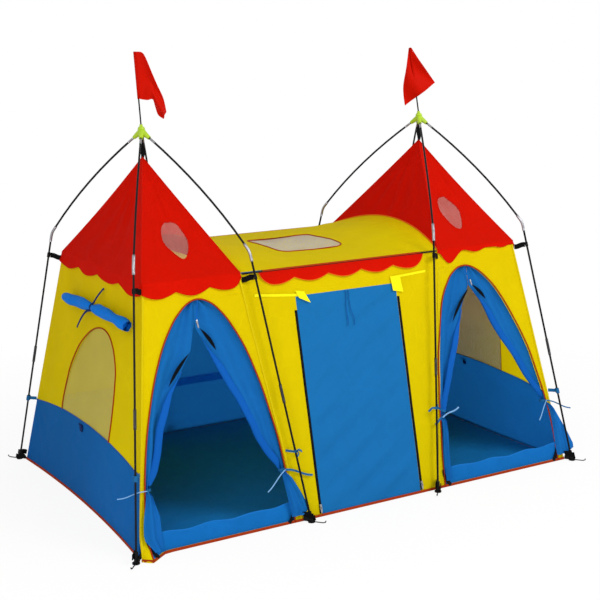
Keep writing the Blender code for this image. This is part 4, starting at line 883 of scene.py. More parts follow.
def end_place(side, u, v, out=0.0, relief=1):
    z = v / END_SLOPE
    wave = ripple(u, v, 11.0 + side, 0.17, 0.0035) + ripple(u * 0.6, v, 5.0, 0.05, 0.001)
    for end in SIDES:
        for height, length, size, count, seed in ((0.32, 0.18, 0.0045, 11, end),
                                                  (WALL_TOP, 0.12, 0.003, 12, end + 1)):
            corner = (end * half_depth(height), height * END_SLOPE)
            wave += creases(u, v, corner, length, size, count, seed)
    sewn = smooth(half_depth(z) - abs(u), 0.06) * smooth(WALL_TOP - z, 0.06) * smooth(z, 0.04)
    lift = out - CLOTH / 2 + wave * sewn * relief
    x = end_x(z) + END_NORMAL.x * lift - hem_bow(u, z)
    return Vector((side * x, u, z + END_NORMAL.z * lift))


def window_edges(t):
    """Both edges of the end window, which leans towards the front as it rises."""
    share = clip(t / WINDOW_SHARE)
    half, lean = WINDOW_HALF_WIDTH * (1 - share ** 2.5) ** 0.5, -WINDOW_LEAN * share ** 1.5
    return lean - half, lean + half


def toggle(name, centre, across):
    """Dark toggle sewn on with a loop."""
    across = Vector(across)
    line = [centre + Vector((0, 0, 0.008 * k - 0.016)) for k in range(5)]
    tape(name, line, 0.026, 0.008, "navy", across, sizes=[0.8, 1, 1, 1, 0.8])
    line = [centre + across * (0.012 + 0.006 * k) + Vector((0, 0, 0.012)) for k in range(4)]
    tape(f"{name}_loop", line, 0.010, 0.0016, "navy", (0, 0, 1))


def end_wall(tower):
    """Yellow end wall with its net window over the blue band, bound along the foot."""
    side, foot = TOWERS[tower], half_depth(0)
    steps = [WINDOW_SHARE * sin(pi / 2 * share) for share in shares(26)]
    steps += spaced(WINDOW_SHARE, 1, 10)[1:]

    def height(u, t):
        low = border_height(u / half_depth(BORDER_CORNER))
        return (low + (WALL_TOP - low) * t) * END_SLOPE

    def place(u, v, out=0.0):
        return end_place(side, u, v, out)

    def net_place(u, v):
        sag = 0.012 * max(1 - (u / WINDOW_HALF_WIDTH) ** 2, 0)
        return place(u, v, -sag * sin(pi * clip((v / END_SLOPE - BORDER_MIDDLE) / 0.44)))

    def low_height(u, t):
        return (FOOT + (border_height(u / foot) - FOOT) * t) * END_SLOPE

    def low_place(u, v):
        level = (v / END_SLOPE - FOOT) / (border_height(u / foot) - FOOT)
        return place(u / foot * half_depth(FOOT + (BORDER_CORNER - FOOT) * level), v)

    rows = []
    for t in steps:
        edge = half_depth(BORDER_CORNER * (1 - t) + WALL_TOP * t) - SEAM
        rows.append((t, (-edge, *window_edges(t), edge)))
    upper, net, lower = Cloth(), Cloth(), Cloth()
    upper.panel(rows, (22, 1, 22), place, height, lambda i, *gap: i == 1)
    line = []
    for turn in spaced(-pi / 2, pi / 2, 48):
        t = WINDOW_SHARE * cos(turn)
        u = window_edges(t)[turn > 0]
        line.append(place(u, height(u, t), 0.002))
    reach = half_depth(BORDER_CORNER) - SEAM
    border = [place(u, height(u, 0), 0.0018) for u in spaced(-reach, reach, 48)]
    trim = [cord(f"{tower}_window_piping", line, 0.003, "piping"),
            tape(f"{tower}_border_seam", border, 0.006, 0.0008, "blue_seam", (0, 0, 1))]
    upper.sew(f"{tower}_end_cloth", "yellow", "stretched", replaces=(f"{tower}_side_wall",),
              trim=trim)
    net.panel([(t, stops[1:3]) for t, stops in rows[:27]], (24,), net_place, height)
    net.sew(f"{tower}_window_net", "net", "stretched", replaces=(f"{tower}_side_window",))
    lower.panel([(t, (SEAM - foot, foot - SEAM)) for t in shares(16)], (56,), low_place,
                low_height)
    hem = [place(u, 0.006, 0.0024) for u in spaced(0.002 - foot, foot - 0.002, 48)]
    binding = tape(f"{tower}_end_hem", hem, 0.012, 0.0024, "piping", (0, 0, 1))
    # The band's darker blue is painted shade
    lower.sew(f"{tower}_end_band", "band", "stretched", trim=[binding])
    toggle(f"{tower}_end_toggle", place(0.023, 0.345 * END_SLOPE, 0.004), (0, 1, 0))


def rolled_flap(tower):
    """Window cover rolled up on itself, drawn in by its tie."""
    side, turns, steps = TOWERS[tower], 3.6, 26
    centre = end_place(side, 0, FLAP_HEIGHT * END_SLOPE, FLAP_RADIUS + 0.003, 0)
    rows = []
    for share in shares(60):
        y = FLAP_SHIFT + FLAP_LENGTH * (share - 0.5)
        pinch = 1 - 0.48 * bell(y - FLAP_TIE, 0.040)
        pinch *= 0.90 + 0.10 * sin(share * 23) * sin(share * 9)
        pinch *= 0.86 + 0.14 * smooth(min(share, 1 - share), 0.06)
        droop = -0.012 * (share - 0.4) ** 2 * 4 + ripple(y, 0, 2, 0.08, 0.003)
        row, run = [], 0.0
        for k in range(int(turns * steps) + 1):
            turn = 2 * pi * k / steps
            radius = (0.006 + (FLAP_RADIUS - 0.007) * k / (turns * steps)) * pinch
            radius *= 1 + 0.10 * sin(turn * 2 + y * 22) + ripple(y * 3, turn, 6, 0.5, 0.10)
            radius *= 1 + 0.06 * sin(turn * 6 + y * 26) * (0.4 + bell(y - FLAP_TIE, 0.120))
            run += radius * 2 * pi / steps
            row.append((Vector((centre.x + side * radius * sin(turn), y,
                                centre.z + droop + radius * cos(turn))), (y, run)))
        rows.append(row)
    cloth, radius = Cloth(rows), FLAP_RADIUS * 0.56
    loop = circle(Vector((centre.x, FLAP_TIE, centre.z)), Vector((0, 0, radius)),
                  Vector((side * radius, 0, 0)), 16)
    trim = [tape(f"{tower}_flap_tie", loop, 0.010, 0.001, "navy", (0, 1, 0), closed=True)]
    for name, drop, run in (("high", -0.075, -0.048), ("low", 0.105, 0.150)):
        line = []
        for share in shares(10):
            z = centre.z - drop * share - copysign(0.013, drop)
            point = end_place(side, FLAP_TIE + run * sqrt(share), z * END_SLOPE, 0.0, 0)
            point.x += side * (0.010 + 0.030 * (1 - share * share if drop < 0 else 1))
            line.append(point)
        trim.append(tape(f"{tower}_flap_tail_{name}", line, 0.011, 0.0010, "navy", (0, 1, 0.4)))
    cloth.sew(f"{tower}_flap_cloth", "flap", "folded", replaces=(f"{tower}_rolled_flap",),
              flat=(FLAP_LENGTH, max(row[-1][1][1] for row in rows)),
              area=cloth.made_area() * 0.99, trim=trim)


# Back wall and floor

def back_wall():
    """Yellow back wall over the blue band, with a tall blue panel in the middle."""
    counts, panel, edge = (26, 22, 26), BACK_PANEL_HALF, end_x(BORDER_CORNER)
    border, head = BORDER_CORNER * FRONT_SLOPE, BACK_PANEL_TOP * FRONT_SLOPE
    upper, lower, trim = Cloth(), Cloth(), []

    def place(u, v, out=0.0):
        return front_place(u, v, 0, 1) + Vector((0, out, 0))

    def rows(low, high, count):
        return [(z * FRONT_SLOPE, (-end_x(z), -panel, panel, end_x(z)))
                for z in spaced(low, high, count)]

    middle = rows(BORDER_CORNER, BACK_PANEL_TOP, 20)
    upper.panel(middle, counts, place, is_open=lambda i, *gap: i == 1)
    upper.panel(rows(BACK_PANEL_TOP, WALL_TOP, 6), counts, place)
    lower.panel(rows(FOOT, BORDER_CORNER, 12), counts, place)
    lower.panel(middle, counts, place, is_open=lambda i, *gap: i != 1)
    for side in SIDES:
        line = [place(side * u, border, 0.0018) for u in spaced(panel, edge, 24)]
        trim.append(tape(f"back_border_seam_{side}", line, 0.009, 0.0008, "blue_seam", (0, 0, 1)))
        line = [place(side * panel, v, 0.0018) for v in spaced(border, head, 24)]
        trim.append(tape(f"back_panel_seam_{side}", line, 0.009, 0.0008, "blue_seam"))
    upper.sew("back_upper_cloth", "yellow", "stretched", replaces=("back_wall",), trim=trim)
    line = [place(u, 0.006, 0.0034) for u in spaced(-end_x(0), end_x(0), 40)]
    trim = [tape("back_hem", line, 0.012, 0.0024, "piping", (0, 0, 1))]
    # The inner tapes' bright tone is painted light of the wall's glow behind them
    for name, z, wide in (("high", BACK_TAPE, panel - 0.004),
                          ("low", BORDER_CORNER - 0.03, edge - 0.004)):
        line = [place(u, z * FRONT_SLOPE, -0.0024) for u in spaced(-wide, wide, 40)]
        trim.append(tape(f"back_inner_tape_{name}", line, 0.044, 0.0010, "blue_tape", (0, 0, 1)))
    lower.sew("back_lower_cloth", "blue", "stretched", replaces=("lower_band",), trim=trim)
    toggle("back_toggle", place(-0.05, BACK_TAPE * FRONT_SLOPE, -0.008), (1, 0, 0))


def floor_cloth():
    """Ground sheet with the red binding along its front edge."""
    cloth, edge, depth = Cloth(), end_x(0), half_depth(0)

    def place(u, v):
        wave = abs(ripple(u, v, 21, 0.15, 0.010)) + abs(ripple(u * 0.6, v, 9, 0.05, 0.005))
        wave *= smooth(edge - abs(u), 0.1) * smooth(depth - abs(v), 0.1)
        return Vector((u * (1 - hem_bow(v, 0) / edge), v, 0.0016 + wave))

    cloth.panel([(v * 0.996, (0.002 - edge, edge - 0.002)) for v in spaced(-depth, depth, 30)],
                (46,), place)
    line = front_line((-edge, HEM_HEIGHT / 2), (edge, HEM_HEIGHT / 2), 0.0026, 60)
    hem = tape("front_hem", line, HEM_HEIGHT, 0.0024, "piping", (0, 0, 1))
    cloth.sew("floor_cloth", "floor", "laid", replaces=("ground_sheet",), trim=[hem])


# Tower roofs

def roof_pull(tower, corner, t):
    """How far a roof's ridge is drawn in at a share of its length, less on the inner side."""
    inner = 0.3 if abs(corner.x) < TOWER_SPACING / 2 else 1.0
    return Vector((tower_x(tower) - corner.x, -corner.y, 0)) * ROOF_PULL * sin(pi * t) * inner


def roof_face(tower, i, first, second, peak, shift):
    """Length and width of one face, and the function that places its cloth."""
    middle, along = (first + second) / 2, (second - first).normalized()
    up, width = peak - middle, (second - first).length
    length = up.length
    up.normalize()
    normal = along.cross(up).normalized()
    sag = ROOF_SAG_INSIDE if i == {"left": 1, "right": 3}[tower] else ROOF_SAG

    def place(u, v, out=0.0):
        u -= shift
        t = min(v / length, 1.0)
        m = clip((u / max(width / 2 * (1 - t), 1e-6) + 1) / 2)
        point = middle + along * u + up * v
        point += roof_pull(tower, first, t) * (1 - m) + roof_pull(tower, second, t) * m
        open_cloth = 4 * m * (1 - m) * 4 * t * (1 - t)
        wave = ripple(u, v, 30 + i + tower_x(tower), 0.12, 0.007)
        wave += ripple(m * 2.2, v * 0.6, 50 + i + tower_x(tower), 0.12, 0.006)
        wave += 0.0036 * sin(m * 33 + i) * sin(pi * min(t * 1.2, 1))
        return point + normal * (out + 0.001 - sag * open_cloth + wave * min(open_cloth, 1))

    return length, width, place


def roof_window_half(v):
    share = (v - ROOF_WINDOW_CENTRE) / (ROOF_WINDOW_LENGTH / 2)
    if abs(share) >= 1:
        return 0.0
    return ROOF_WINDOW_WIDTH / 2 * sqrt(1 - share * share) * (1 + 0.35 * min(share, 0.0))


def roof(tower):
    """Four-sided roof with its window, ridges, valance and strap."""
    centre, aside = tower_x(tower), ROOF_WINDOW_ASIDE[tower]
    half_x, half_y = EAVE_WIDTH / 2 + ROOF_OVERHANG, EAVE_DEPTH / 2 + ROOF_OVERHANG
    peak = Vector((centre, 0, EAVE_HEIGHT + ROOF_RISE))
    corners = [Vector((centre + sx * half_x, sy * half_y, EAVE_HEIGHT))
               for sx, sy in ((-1, -1), (1, -1), (1, 1), (-1, 1))]
    window = [ROOF_WINDOW_CENTRE - ROOF_WINDOW_LENGTH / 2 * cos(pi * share)
              for share in shares(16)]
    cloth, shift, trim = Cloth(), 0.0, []
    for i, (first, second) in enumerate(zip(corners, corners[1:] + corners[:1])):
        length, width, place = roof_face(tower, i, first, second, peak, shift)
        steps = spaced(0, length, 28)
        if i == 0:
            front = place
            steps = (spaced(0, window[0], 6)[:-1] + window
                     + spaced(window[-1], length, 16)[1:])
        rows = []
        for v in steps:
            half, hole, middle = width / 2 * (1 - v / length), 0.0, shift
            if i == 0:
                hole, middle = roof_window_half(v), shift + aside * min(half / 0.08, 1)
            rows.append((v, (shift - half, middle - hole, middle + hole, shift + half)))
        count = 16 if i % 2 else 10
        cloth.panel(rows, (count, 1, count), place, is_open=lambda part, *gap: part == 1)
        shift += (EAVE_WIDTH + EAVE_DEPTH + 4 * ROOF_OVERHANG) / 4 + width * 0.02
        line = [first.lerp(peak, t) + roof_pull(tower, first, t) + Vector((0, 0, 0.0012))
                for t in shares(20)]
        trim.append(cord(f"{tower}_ridge_{i}", line, 0.0022, "red_seam", 6))
    ring = [front(aside + a * (1 + 0.35 * min(b, 0.0)),
                  ROOF_WINDOW_CENTRE + ROOF_WINDOW_LENGTH / 2 * b, 0.001)
            for b, a in oval(1, ROOF_WINDOW_WIDTH / 2, 40)]
    trim.append(cord(f"{tower}_roof_window_piping", ring, 0.0016, "red_seam", 6, closed=True))
    cloth.sew(f"{tower}_roof_cloth", "red", "stretched", replaces=(f"{tower}_roof",),
              flat=ROOF_FLAT, trim=trim)
    film = Cloth()
    film.panel([(v, (aside - roof_window_half(v), aside + roof_window_half(v))) for v in window],
               (12,), lambda u, v: front(u, v, -0.0012))
    film.sew(f"{tower}_roof_film", "film", "stretched", replaces=(f"{tower}_roof_window",))
    tower_valance(tower)
    low, high = peak.z - 0.004, HUB_HEIGHT - HUB_BOSS - SEAM
    line = [(centre + 0.003 * sin(k * 0.9), 0, z) for k, z in enumerate(spaced(low, high, 8))]
    tape(f"{tower}_apex_strap", line, 0.018, 0.0030, "webbing",
         sizes=[0.7, 0.9, 1.2, 1.3, 1.25, 1.0, 0.8, 0.8, 0.9])


def scallop_drop(share, scallops):
    """Drop of a valance at a share of its length."""
    part = share * scallops % 1.0 if share < 1 else 1.0
    return VALANCE_DROP - VALANCE_NOTCH * (1 - sin(pi * part))


def rounded(drop, end, near):
    """The drop where a valance's end curves up to its end's drop."""
    return end + (drop - end) * sqrt(1 - (1 - min(near, 1.0)) ** 2)


def valance_lift(tower, face, share):
    """How much of a valance rides up: in the end's middle, and along the right tower's front."""
    if face is None:
        return 0.018 * sin(pi * share) ** 2
    if tower == "right" and face == "front":
        return 0.040 - 0.036 * bell(share - 0.15, 0.09)
    return 0.004


def flutter(run, share, seed):
    """How far a valance stands off the wall, more towards its free edge."""
    return 0.0035 + 0.0045 * share * (1 + sin(run * 38 + seed)) / 2 * share


def tower_valance(tower):
    """Scalloped band round the front, end and back of a tower's eave."""
    side, run, stations, rows = TOWERS[tower], 0.0, [], []
    for face, scallops, length in (("front", 3, EAVE_WIDTH), (None, 4, EAVE_DEPTH),
                                   ("back", 3, EAVE_WIDTH)):
        for share in shares(scallops * 14)[1 if stations else 0:]:
            near = {"front": share, "back": 1 - share}.get(face, 1.0) * length / VALANCE_ROUNDING
            drop = rounded(scallop_drop(share, scallops), VALANCE_END, near)
            drop += 0.005 * sin(9 * (run + share * length) + side)
            drop = max(drop - valance_lift(tower, face, share), VALANCE_LEAST)
            stations.append((face, share, run + share * length, drop))
        run += length
    for level in shares(5):
        row = []
        for face, share, place, drop in stations:
            z, off = EAVE_HEIGHT + 0.001 - drop * level, flutter(place, level, side)
            half, depth = tower_half_width(z) + off, half_depth(z) + off
            x, y = TOWER_SPACING / 2 + half, depth * (2 * share - 1)
            if face:
                turn, y = (1, -depth) if face == "front" else (-1, depth)
                x = TOWER_SPACING / 2 + turn * half * (2 * share - 1)
            row.append((Vector((side * x, y, z)), (place, -drop * level)))
        rows.append(row)
    hem = cord(f"{tower}_valance_hem", [point for point, _ in rows[-1]], 0.0013, "red_seam", 6)
    Cloth(rows).sew(f"{tower}_valance", "red", "hung", trim=[hem])


# Centre roof

def centre_height(x, y):
    low, high = CENTRE_RISE
    rise = low + (high - low) * min(abs(x) / ROOF_INNER, 1.0) ** 2
    return EAVE_HEIGHT + rise * (1 - (2 * y / EAVE_DEPTH) ** 2)


def centre_place(u, v, out=0.0):
    """The saddle between the towers; its ends lean against their roofs."""
    lean = (centre_height(ROOF_INNER, v) - EAVE_HEIGHT) * (EAVE_WIDTH / 2 + ROOF_OVERHANG)
    end = ROOF_INNER - ROOF_OVERHANG - SEAM * 2 + lean / ROOF_RISE
    wave = ripple(u, v, 40, 0.15, 0.005) + ripple(u * 0.5, v, 41, 0.05, 0.0015)
    for sx, sy in CORNERS:
        wave += creases(u, v, (sx * ROOF_INNER, sy * EAVE_DEPTH / 2), 0.2, 0.003, 10, sx)
    wave *= smooth(1 - abs(u) / ROOF_INNER, 0.12) * smooth(0.5 - abs(v) / EAVE_DEPTH, 0.08)
    return Vector((u / ROOF_INNER * end, v, centre_height(u, v) + 0.002 + out + wave))


def skylight_half(v):
    away = abs(v - SKYLIGHT_SHIFT) - SKYLIGHT_DEPTH / 2 + SKYLIGHT_CORNER
    if away >= SKYLIGHT_CORNER:
        return 0.0
    return (SKYLIGHT_WIDTH / 2 - SKYLIGHT_CORNER
            + sqrt(SKYLIGHT_CORNER ** 2 - max(away, 0.0) ** 2))


def centre_roof():
    """Yellow saddle with its netted skylight, rod sleeves and bound ends."""
    low, high = SKYLIGHT_SHIFT - SKYLIGHT_DEPTH / 2, SKYLIGHT_SHIFT + SKYLIGHT_DEPTH / 2
    corner = [SKYLIGHT_CORNER * (1 - cos(pi / 2 * share)) for share in shares(6)]
    window = [low + step for step in corner]
    window += spaced(low + SKYLIGHT_CORNER, high - SKYLIGHT_CORNER, 10)[1:-1]
    window += [high - step for step in reversed(corner)]
    window = [round(v, 6) for v in window]
    rows = []
    for v in (spaced(-EAVE_DEPTH / 2, low, 10)[:-1] + window
              + spaced(high, EAVE_DEPTH / 2, 10)[1:]):
        half = skylight_half(min(max(v, low + 1e-5), high - 1e-5))
        rows.append((v, (-ROOF_INNER, -half, half, ROOF_INNER)))
    cloth, net = Cloth(), Cloth()
    cloth.panel(rows, (20, 14, 20), centre_place,
                is_open=lambda i, a, b: i == 1 and a > low - 1e-4 and b < high + 1e-4)
    trim = []
    for side in SIDES:
        line = [centre_place(side * ROOF_INNER, v, 0.002)
                for v in spaced(-EAVE_DEPTH / 2, EAVE_DEPTH / 2, 32)]
        trim.append(cord(f"centre_roof_edge_{side}", line, 0.003, "orange"))
    ring = [centre_place(skylight_half(v), v, 0.001) for v in window]
    ring += [centre_place(-skylight_half(v), v, 0.001) for v in reversed(window)]
    trim.append(cord("skylight_piping", ring, 0.003, "piping", closed=True))
    for face in SIDES:
        line = [centre_place(u, face * EAVE_DEPTH / 2, -0.004) + Vector((0, face * 0.004, 0))
                for u in spaced(-ROOF_INNER, ROOF_INNER, 40)[4:-4]]
        trim.append(cord(f"rod_sleeve_{face}", line, 0.0050, "piping"))
    cloth.sew("centre_roof_cloth", "yellow", "stretched", replaces=("centre_roof",), trim=trim)
    net.panel([(v, (-skylight_half(v), skylight_half(v))) for v in window], (16,),
              lambda u, v: centre_place(u, v, -0.006 * max(1 - (u * 2 / SKYLIGHT_WIDTH) ** 2, 0)
                                        * max(1 - ((v + 0.02) / 0.19) ** 2, 0)))
    net.sew("skylight_net", "mesh", "stretched", replaces=("skylight_mesh",))


def centre_valance(face):
    rows, name = [], "front" if face < 0 else "back"
    for level in shares(5):
        row = []
        for share in shares(80):
            x = CENTRE_VALANCE_HALF * (2 * share - 1)
            near = (CENTRE_VALANCE_HALF - abs(x)) / CENTRE_VALANCE_ROUNDING
            drop = rounded(scallop_drop(share, 5), CENTRE_VALANCE_END, near)
            z = EAVE_HEIGHT - CENTRE_VALANCE_TOP - (drop - CENTRE_VALANCE_TOP) * level
            row.append((front_at(x, z, 0.002 + flutter(x, level, 1), face), (x, z)))
        rows.append(row)
    hem = cord(f"{name}_valance_binding", [point for point, _ in rows[-1]], 0.0017, "orange", 6)
    Cloth(rows).sew(f"{name}_centre_valance", "red", "hung", trim=[hem],
                    replaces=("centre_valance",) if face < 0 else ())


# Flags

def smooth_edge(edge, steps):
    """Points on a smooth curve through the given ones."""
    points = [Vector(point) for point in edge]
    points = [points[0], *points, points[-1]]
    line = []
    for run in spaced(0, len(edge) - 1, steps):
        k = min(int(run), len(edge) - 2)
        t, (a, b, c, d) = run - k, points[k:k + 4]
        line.append(0.5 * ((2 * b) + (c - a) * t + (2 * a - 5 * b + 4 * c - d) * t * t
                           + (3 * b - a - 3 * c + d) * t ** 3))
    return line


def flag(tower):
    """Hanging flag with its sleeve and hem."""
    lean, top, foot = FLAGS[tower]
    bearing = Vector((cos(FLAG_BEARING), sin(FLAG_BEARING), 0))
    axis = Vector((0, 0, cos(lean))) - bearing * sin(lean)
    origin, normal = Vector((tower_x(tower), 0, HUB_HEIGHT)), bearing.cross(axis).normalized()
    rows = []
    for away, high, low in zip(shares(30), smooth_edge(top, 30), smooth_edge(foot, 30)):
        row = []
        for share in shares(16):
            point = high.lerp(low, share)
            fold = 0.018 * away * sin(share * 7 + away * 5) * min(away * 3, 1)
            place = (origin + axis * (FLAG_TOP + point.y * FLAG_HOIST)
                     + bearing * point.x * FLAG_HOIST + normal * fold)
            row.append((place, (away * 0.24, share * FLAG_HOIST)))
        rows.append(row)
    cloth, body = Cloth(rows), f"{tower}_flag_body"
    line = [origin + axis * z for z in spaced(FLAG_TOP + 0.0018, FLAG_TOP - FLAG_HOIST - 0.0016, 6)]
    sleeve = cord(f"{tower}_flag_sleeve", line, 0.0054, "flag", 12, body=body)
    edge = [row[0] for row in rows] + rows[-1][1:] + [row[-1] for row in reversed(rows[:-1])]
    hem = cord(f"{tower}_flag_hem", [point for point, _ in edge], 0.0012, "red_seam", 6,
               body=body)
    area = cloth.made_area()
    cloth.sew(f"{tower}_flag_cloth", "flag", "hung", body, (f"{tower}_flag",),
              flat=(area / 0.8 / FLAG_HOIST, FLAG_HOIST), area=area * 0.99, trim=[hem, sleeve])


# Legs, clips and ties

def corner_name(tower, sx, sy):
    return f"{tower}_{'right' if sx > 0 else 'left'}_{'back' if sy > 0 else 'front'}"


def leg_at(tower, sx, sy, z):
    point = LEG_FOOT.lerp(LEG_TOP, z / LEG_TOP.z)
    return Vector((tower_x(tower) + sx * point.x, sy * point.y, z))


def canopy_corner(tower, sx, sy, z, out):
    return Vector((tower_x(tower) + sx * (tower_half_width(z) + out),
                   sy * (half_depth(z) + out), z))


def leg_frame(tower, sx, sy, z, out=0.002):
    """Leg, the canopy's corner beside it and the leg's direction."""
    pole = leg_at(tower, sx, sy, z)
    return (pole, canopy_corner(tower, sx, sy, z, out),
            (leg_at(tower, sx, sy, z + 0.1) - pole).normalized())


def corner_clip(tower, sx, sy):
    """Plastic C-clip round a leg, on a webbing strap sewn to the eave's corner."""
    pole, corner, along = leg_frame(tower, sx, sy, EAVE_HEIGHT - CLIP_DROP, 0.004)
    towards = corner - pole
    towards -= along * towards.dot(along)
    span, first, radius = towards.length, towards.normalized(), POLE_RADIUS + 0.0018
    second = along.cross(first)
    line = [pole + (first * cos(a) + second * sin(a)) * radius
            for a in spaced(-CLIP_TURN, CLIP_TURN, 18)]
    name = corner_name(tower, sx, sy)
    tape(f"{name}_clip", line, 0.022, 0.0026, "black", along)
    line = [pole + first * (radius + 0.0014 + (span - radius) * k / 6)
            + along * 0.002 * sin(k) for k in range(7)]
    tape(f"{name}_clip_strap", line, 0.024, 0.0024, "webbing", along)


def pole_tie(tower, sx, sy, z):
    """Ribbon that ties the canopy's corner to its leg, knotted in a bow."""
    pole, corner, axis = leg_frame(tower, sx, sy, z)
    name = corner_name(tower, sx, sy) + "_tie"
    away = pole - corner
    away = (away - axis * away.dot(axis)).normalized()
    along = axis.cross(away)
    radius = POLE_RADIUS + 0.0014
    tape(f"{name}_loop", circle(pole, away * radius, along * radius, 14), 0.011, 0.0010,
         "ribbon", axis, closed=True)
    line = [corner.lerp(pole - away * (POLE_RADIUS + 0.002), share) for share in shares(5)]
    tape(f"{name}_bridge", line, 0.010, 0.0012, "ribbon", axis)
    centre, up = pole + away * (POLE_RADIUS + 0.0015), away.cross(along).normalized()
    line = [centre + away * (0.002 + 0.004 * sin(pi * k / 4)) + along * 0.004 * (k - 2)
            for k in range(5)]
    tape(f"{name}_knot", line, 0.011, 0.002, "ribbon", up)
    for sign, tail in zip(SIDES, POLE_TIE_TAILS):
        line = [centre + away * (0.004 + 0.010 * sin(share * 2.2)) + along * sign * tail * share
                - Vector((0, 0, 0.4 * tail * share * share))
                + up * 0.003 * sin(share * 6 + sign) for share in shares(8)]
        tape(f"{name}_tail_{sign}", line, 0.009, 0.0008, "ribbon", up)


def corner_knot(tower, sx, sy, z):
    """Ribbon that ties the canopy's corner to its leg in a small knot."""
    pole, corner, axis = leg_frame(tower, sx, sy, z)
    name = corner_name(tower, sx, sy) + "_knot"
    away, radius = (corner - pole).normalized(), POLE_RADIUS + 0.0030
    tape(f"{name}_loop", circle(pole, away * radius, axis.cross(away) * radius, 14), 0.024,
         0.0040, "ribbon", axis, closed=True)
    line = [corner.lerp(pole + away * (POLE_RADIUS + 0.002), share) for share in shares(5)]
    tape(f"{name}_band", line, 0.016, 0.0016, "ribbon", axis)


def quadratic(first, pull, last, t):
    return first * (1 - t) ** 2 + pull * 2 * t * (1 - t) + last * t * t


def leg_sleeve(tower, sx, sy):
    """Black sleeve of a leg's joint, bright elbow sleeve, bright pole end, foot's webbing."""
    name, elbow = corner_name(tower, sx, sy), leg_at(tower, sx, sy, LEG_TOP.z)
    line = [leg_at(tower, sx, sy, z) for z in spaced(*LEG_SLEEVE, 4)]
    cord(f"{name}_leg_sleeve", line, FERRULE_RADIUS + 0.0003, "dark_metal", 16)
    hub, foot = Vector((tower_x(tower), 0, HUB_HEIGHT)), leg_at(tower, sx, sy, 0)
    along = (hub - elbow).normalized()
    mouth = hub - along * HUB_ARM
    outward = along.cross(Vector((0, 0, 1))).cross(along).normalized()
    pull = (elbow + mouth) / 2 + outward * 2 * POLE_BOW
    down, ahead = (foot - elbow).normalized(), (pull - elbow).normalized()
    line = [elbow + down * a for a in ELBOW_REACH]
    bend = line[-1], elbow, elbow + ahead * ELBOW_REACH[-1]
    line += [quadratic(*bend, t) for t in shares(6)[1:-1]]
    line += [elbow + ahead * a for a in reversed(ELBOW_REACH)]
    cord(f"{name}_elbow_sleeve", line, FERRULE_RADIUS + 0.0002, "metal", 16)
    line = [quadratic(elbow, pull, mouth, t) for t in spaced(*POLE_END, 4)]
    cord(f"{name}_pole_end", line, POLE_RADIUS + 0.0006, "metal", 12)
    hem = canopy_corner(tower, sx, sy, 0, 0.002)
    outward = (foot - hem).normalized()
    for k, (shift, z) in enumerate(FOOT_WEBBING):
        aside = outward.cross(Vector((0, 0, 1))) * shift
        line = [hem.lerp(foot + outward * 0.014, j / 6) + aside
                + Vector((0, 0, z + 0.003 * sin(j))) for j in range(7)]
        tape(f"{name}_foot_webbing_{k}", line, 0.024, 0.0026, "webbing", (0, 0, 1))


# Studio

def lamp(name, place, size, power):
    data = bpy.data.lights.new(name, "AREA")
    data.shape, data.size, data.energy = "SQUARE", size, power
    light = bpy.data.objects.new(name, data)
    light.location = place
    light.rotation_euler = (TENT_MIDDLE - Vector(place)).to_track_quat("-Z", "Y").to_euler()
    bpy.context.scene.collection.objects.link(light)


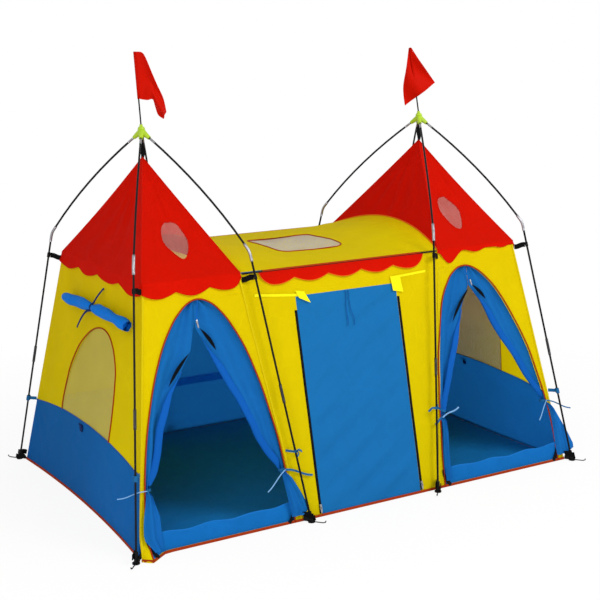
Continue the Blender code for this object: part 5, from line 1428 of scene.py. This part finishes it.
def studio():
    """Pale floor and world: white to the eye, a plain level of light on the tent."""
    white = (1, 1, 1, 1)
    bpy.context.scene.view_settings.view_transform = "Standard"
    bpy.ops.mesh.primitive_plane_add(size=STUDIO_SIZE, location=(0, 0, -STUDIO_DROP))
    floor = bpy.context.object
    floor.name = "studio_floor"
    material = bpy.data.materials.new("studio_floor")
    material.use_nodes = True
    look = Graph(material.node_tree)
    far = look.add("VectorMath", {0: look.position()}, operation="LENGTH").outputs["Value"]
    share = look.math("MULTIPLY", look.seen_directly(), look.spread(far, 0.88, 1.0, 1.2, 3.0))
    diffuse = look.add("BsdfDiffuse", {"Color": STUDIO_GREY})
    glow = look.add("Emission", {"Color": white, "Strength": 1.0})
    look.blend_shaders(share, diffuse, glow, look.tree.nodes["Material Output"])
    floor.data.materials.append(material)
    world = bpy.data.worlds.new("studio")
    bpy.context.scene.world = world
    world.use_nodes = True
    sky = Graph(world.node_tree)
    sky.tree.nodes.clear()
    dim = sky.add("Background", {"Color": white, "Strength": WORLD_LEVEL})
    bright = sky.add("Background", {"Color": white, "Strength": 1.0})
    sky.blend_shaders(sky.seen_directly(), dim, bright, sky.add("OutputWorld", {}))
    for name, values in LAMPS.items():
        lamp(name, *values)


def camera():
    azimuth, elevation, roll = (radians(angle) for angle in CAMERA_TURN)
    ahead = Vector((sin(azimuth) * cos(elevation), cos(azimuth) * cos(elevation),
                    -sin(elevation)))
    right = ahead.cross(Vector((0, 0, 1))).normalized()
    up = right.cross(ahead)
    data = bpy.data.cameras.new("photo")
    data.sensor_fit, data.sensor_width, data.lens = "HORIZONTAL", 36, CAMERA_LENS
    eye = bpy.data.objects.new("photo", data)
    turn = Matrix((cos(roll) * right + sin(roll) * up, cos(roll) * up - sin(roll) * right,
                   -ahead)).transposed()
    eye.matrix_world = Matrix.Translation(CAMERA_PLACE) @ turn.to_4x4()
    bpy.context.scene.collection.objects.link(eye)
    bpy.context.scene.camera = eye


for name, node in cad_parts.items():
    for ends, finish in NODE_FINISHES.items():
        if name.endswith(ends):
            node.data.materials.clear()
            node.data.materials.append(FINISHES[finish][0])
front_wall()
centre_door()
door_head_tapes()
for tower in TOWERS:
    for side in TOWERS:
        curtain(tower, side)
        curtain_tie(tower, side)
    arch_slider(tower)
    end_wall(tower)
    rolled_flap(tower)
    roof(tower)
    for corner in CORNERS:
        corner_clip(tower, *corner)
    flag(tower)
    for corner in CORNERS:
        leg_sleeve(tower, *corner)
for corner, height in POLE_TIES.items():
    pole_tie(*corner, height)
for corner, height in CORNER_KNOTS.items():
    corner_knot(*corner, height)
back_wall()
floor_cloth()
centre_roof()
for face in SIDES:
    centre_valance(face)
studio()
camera()
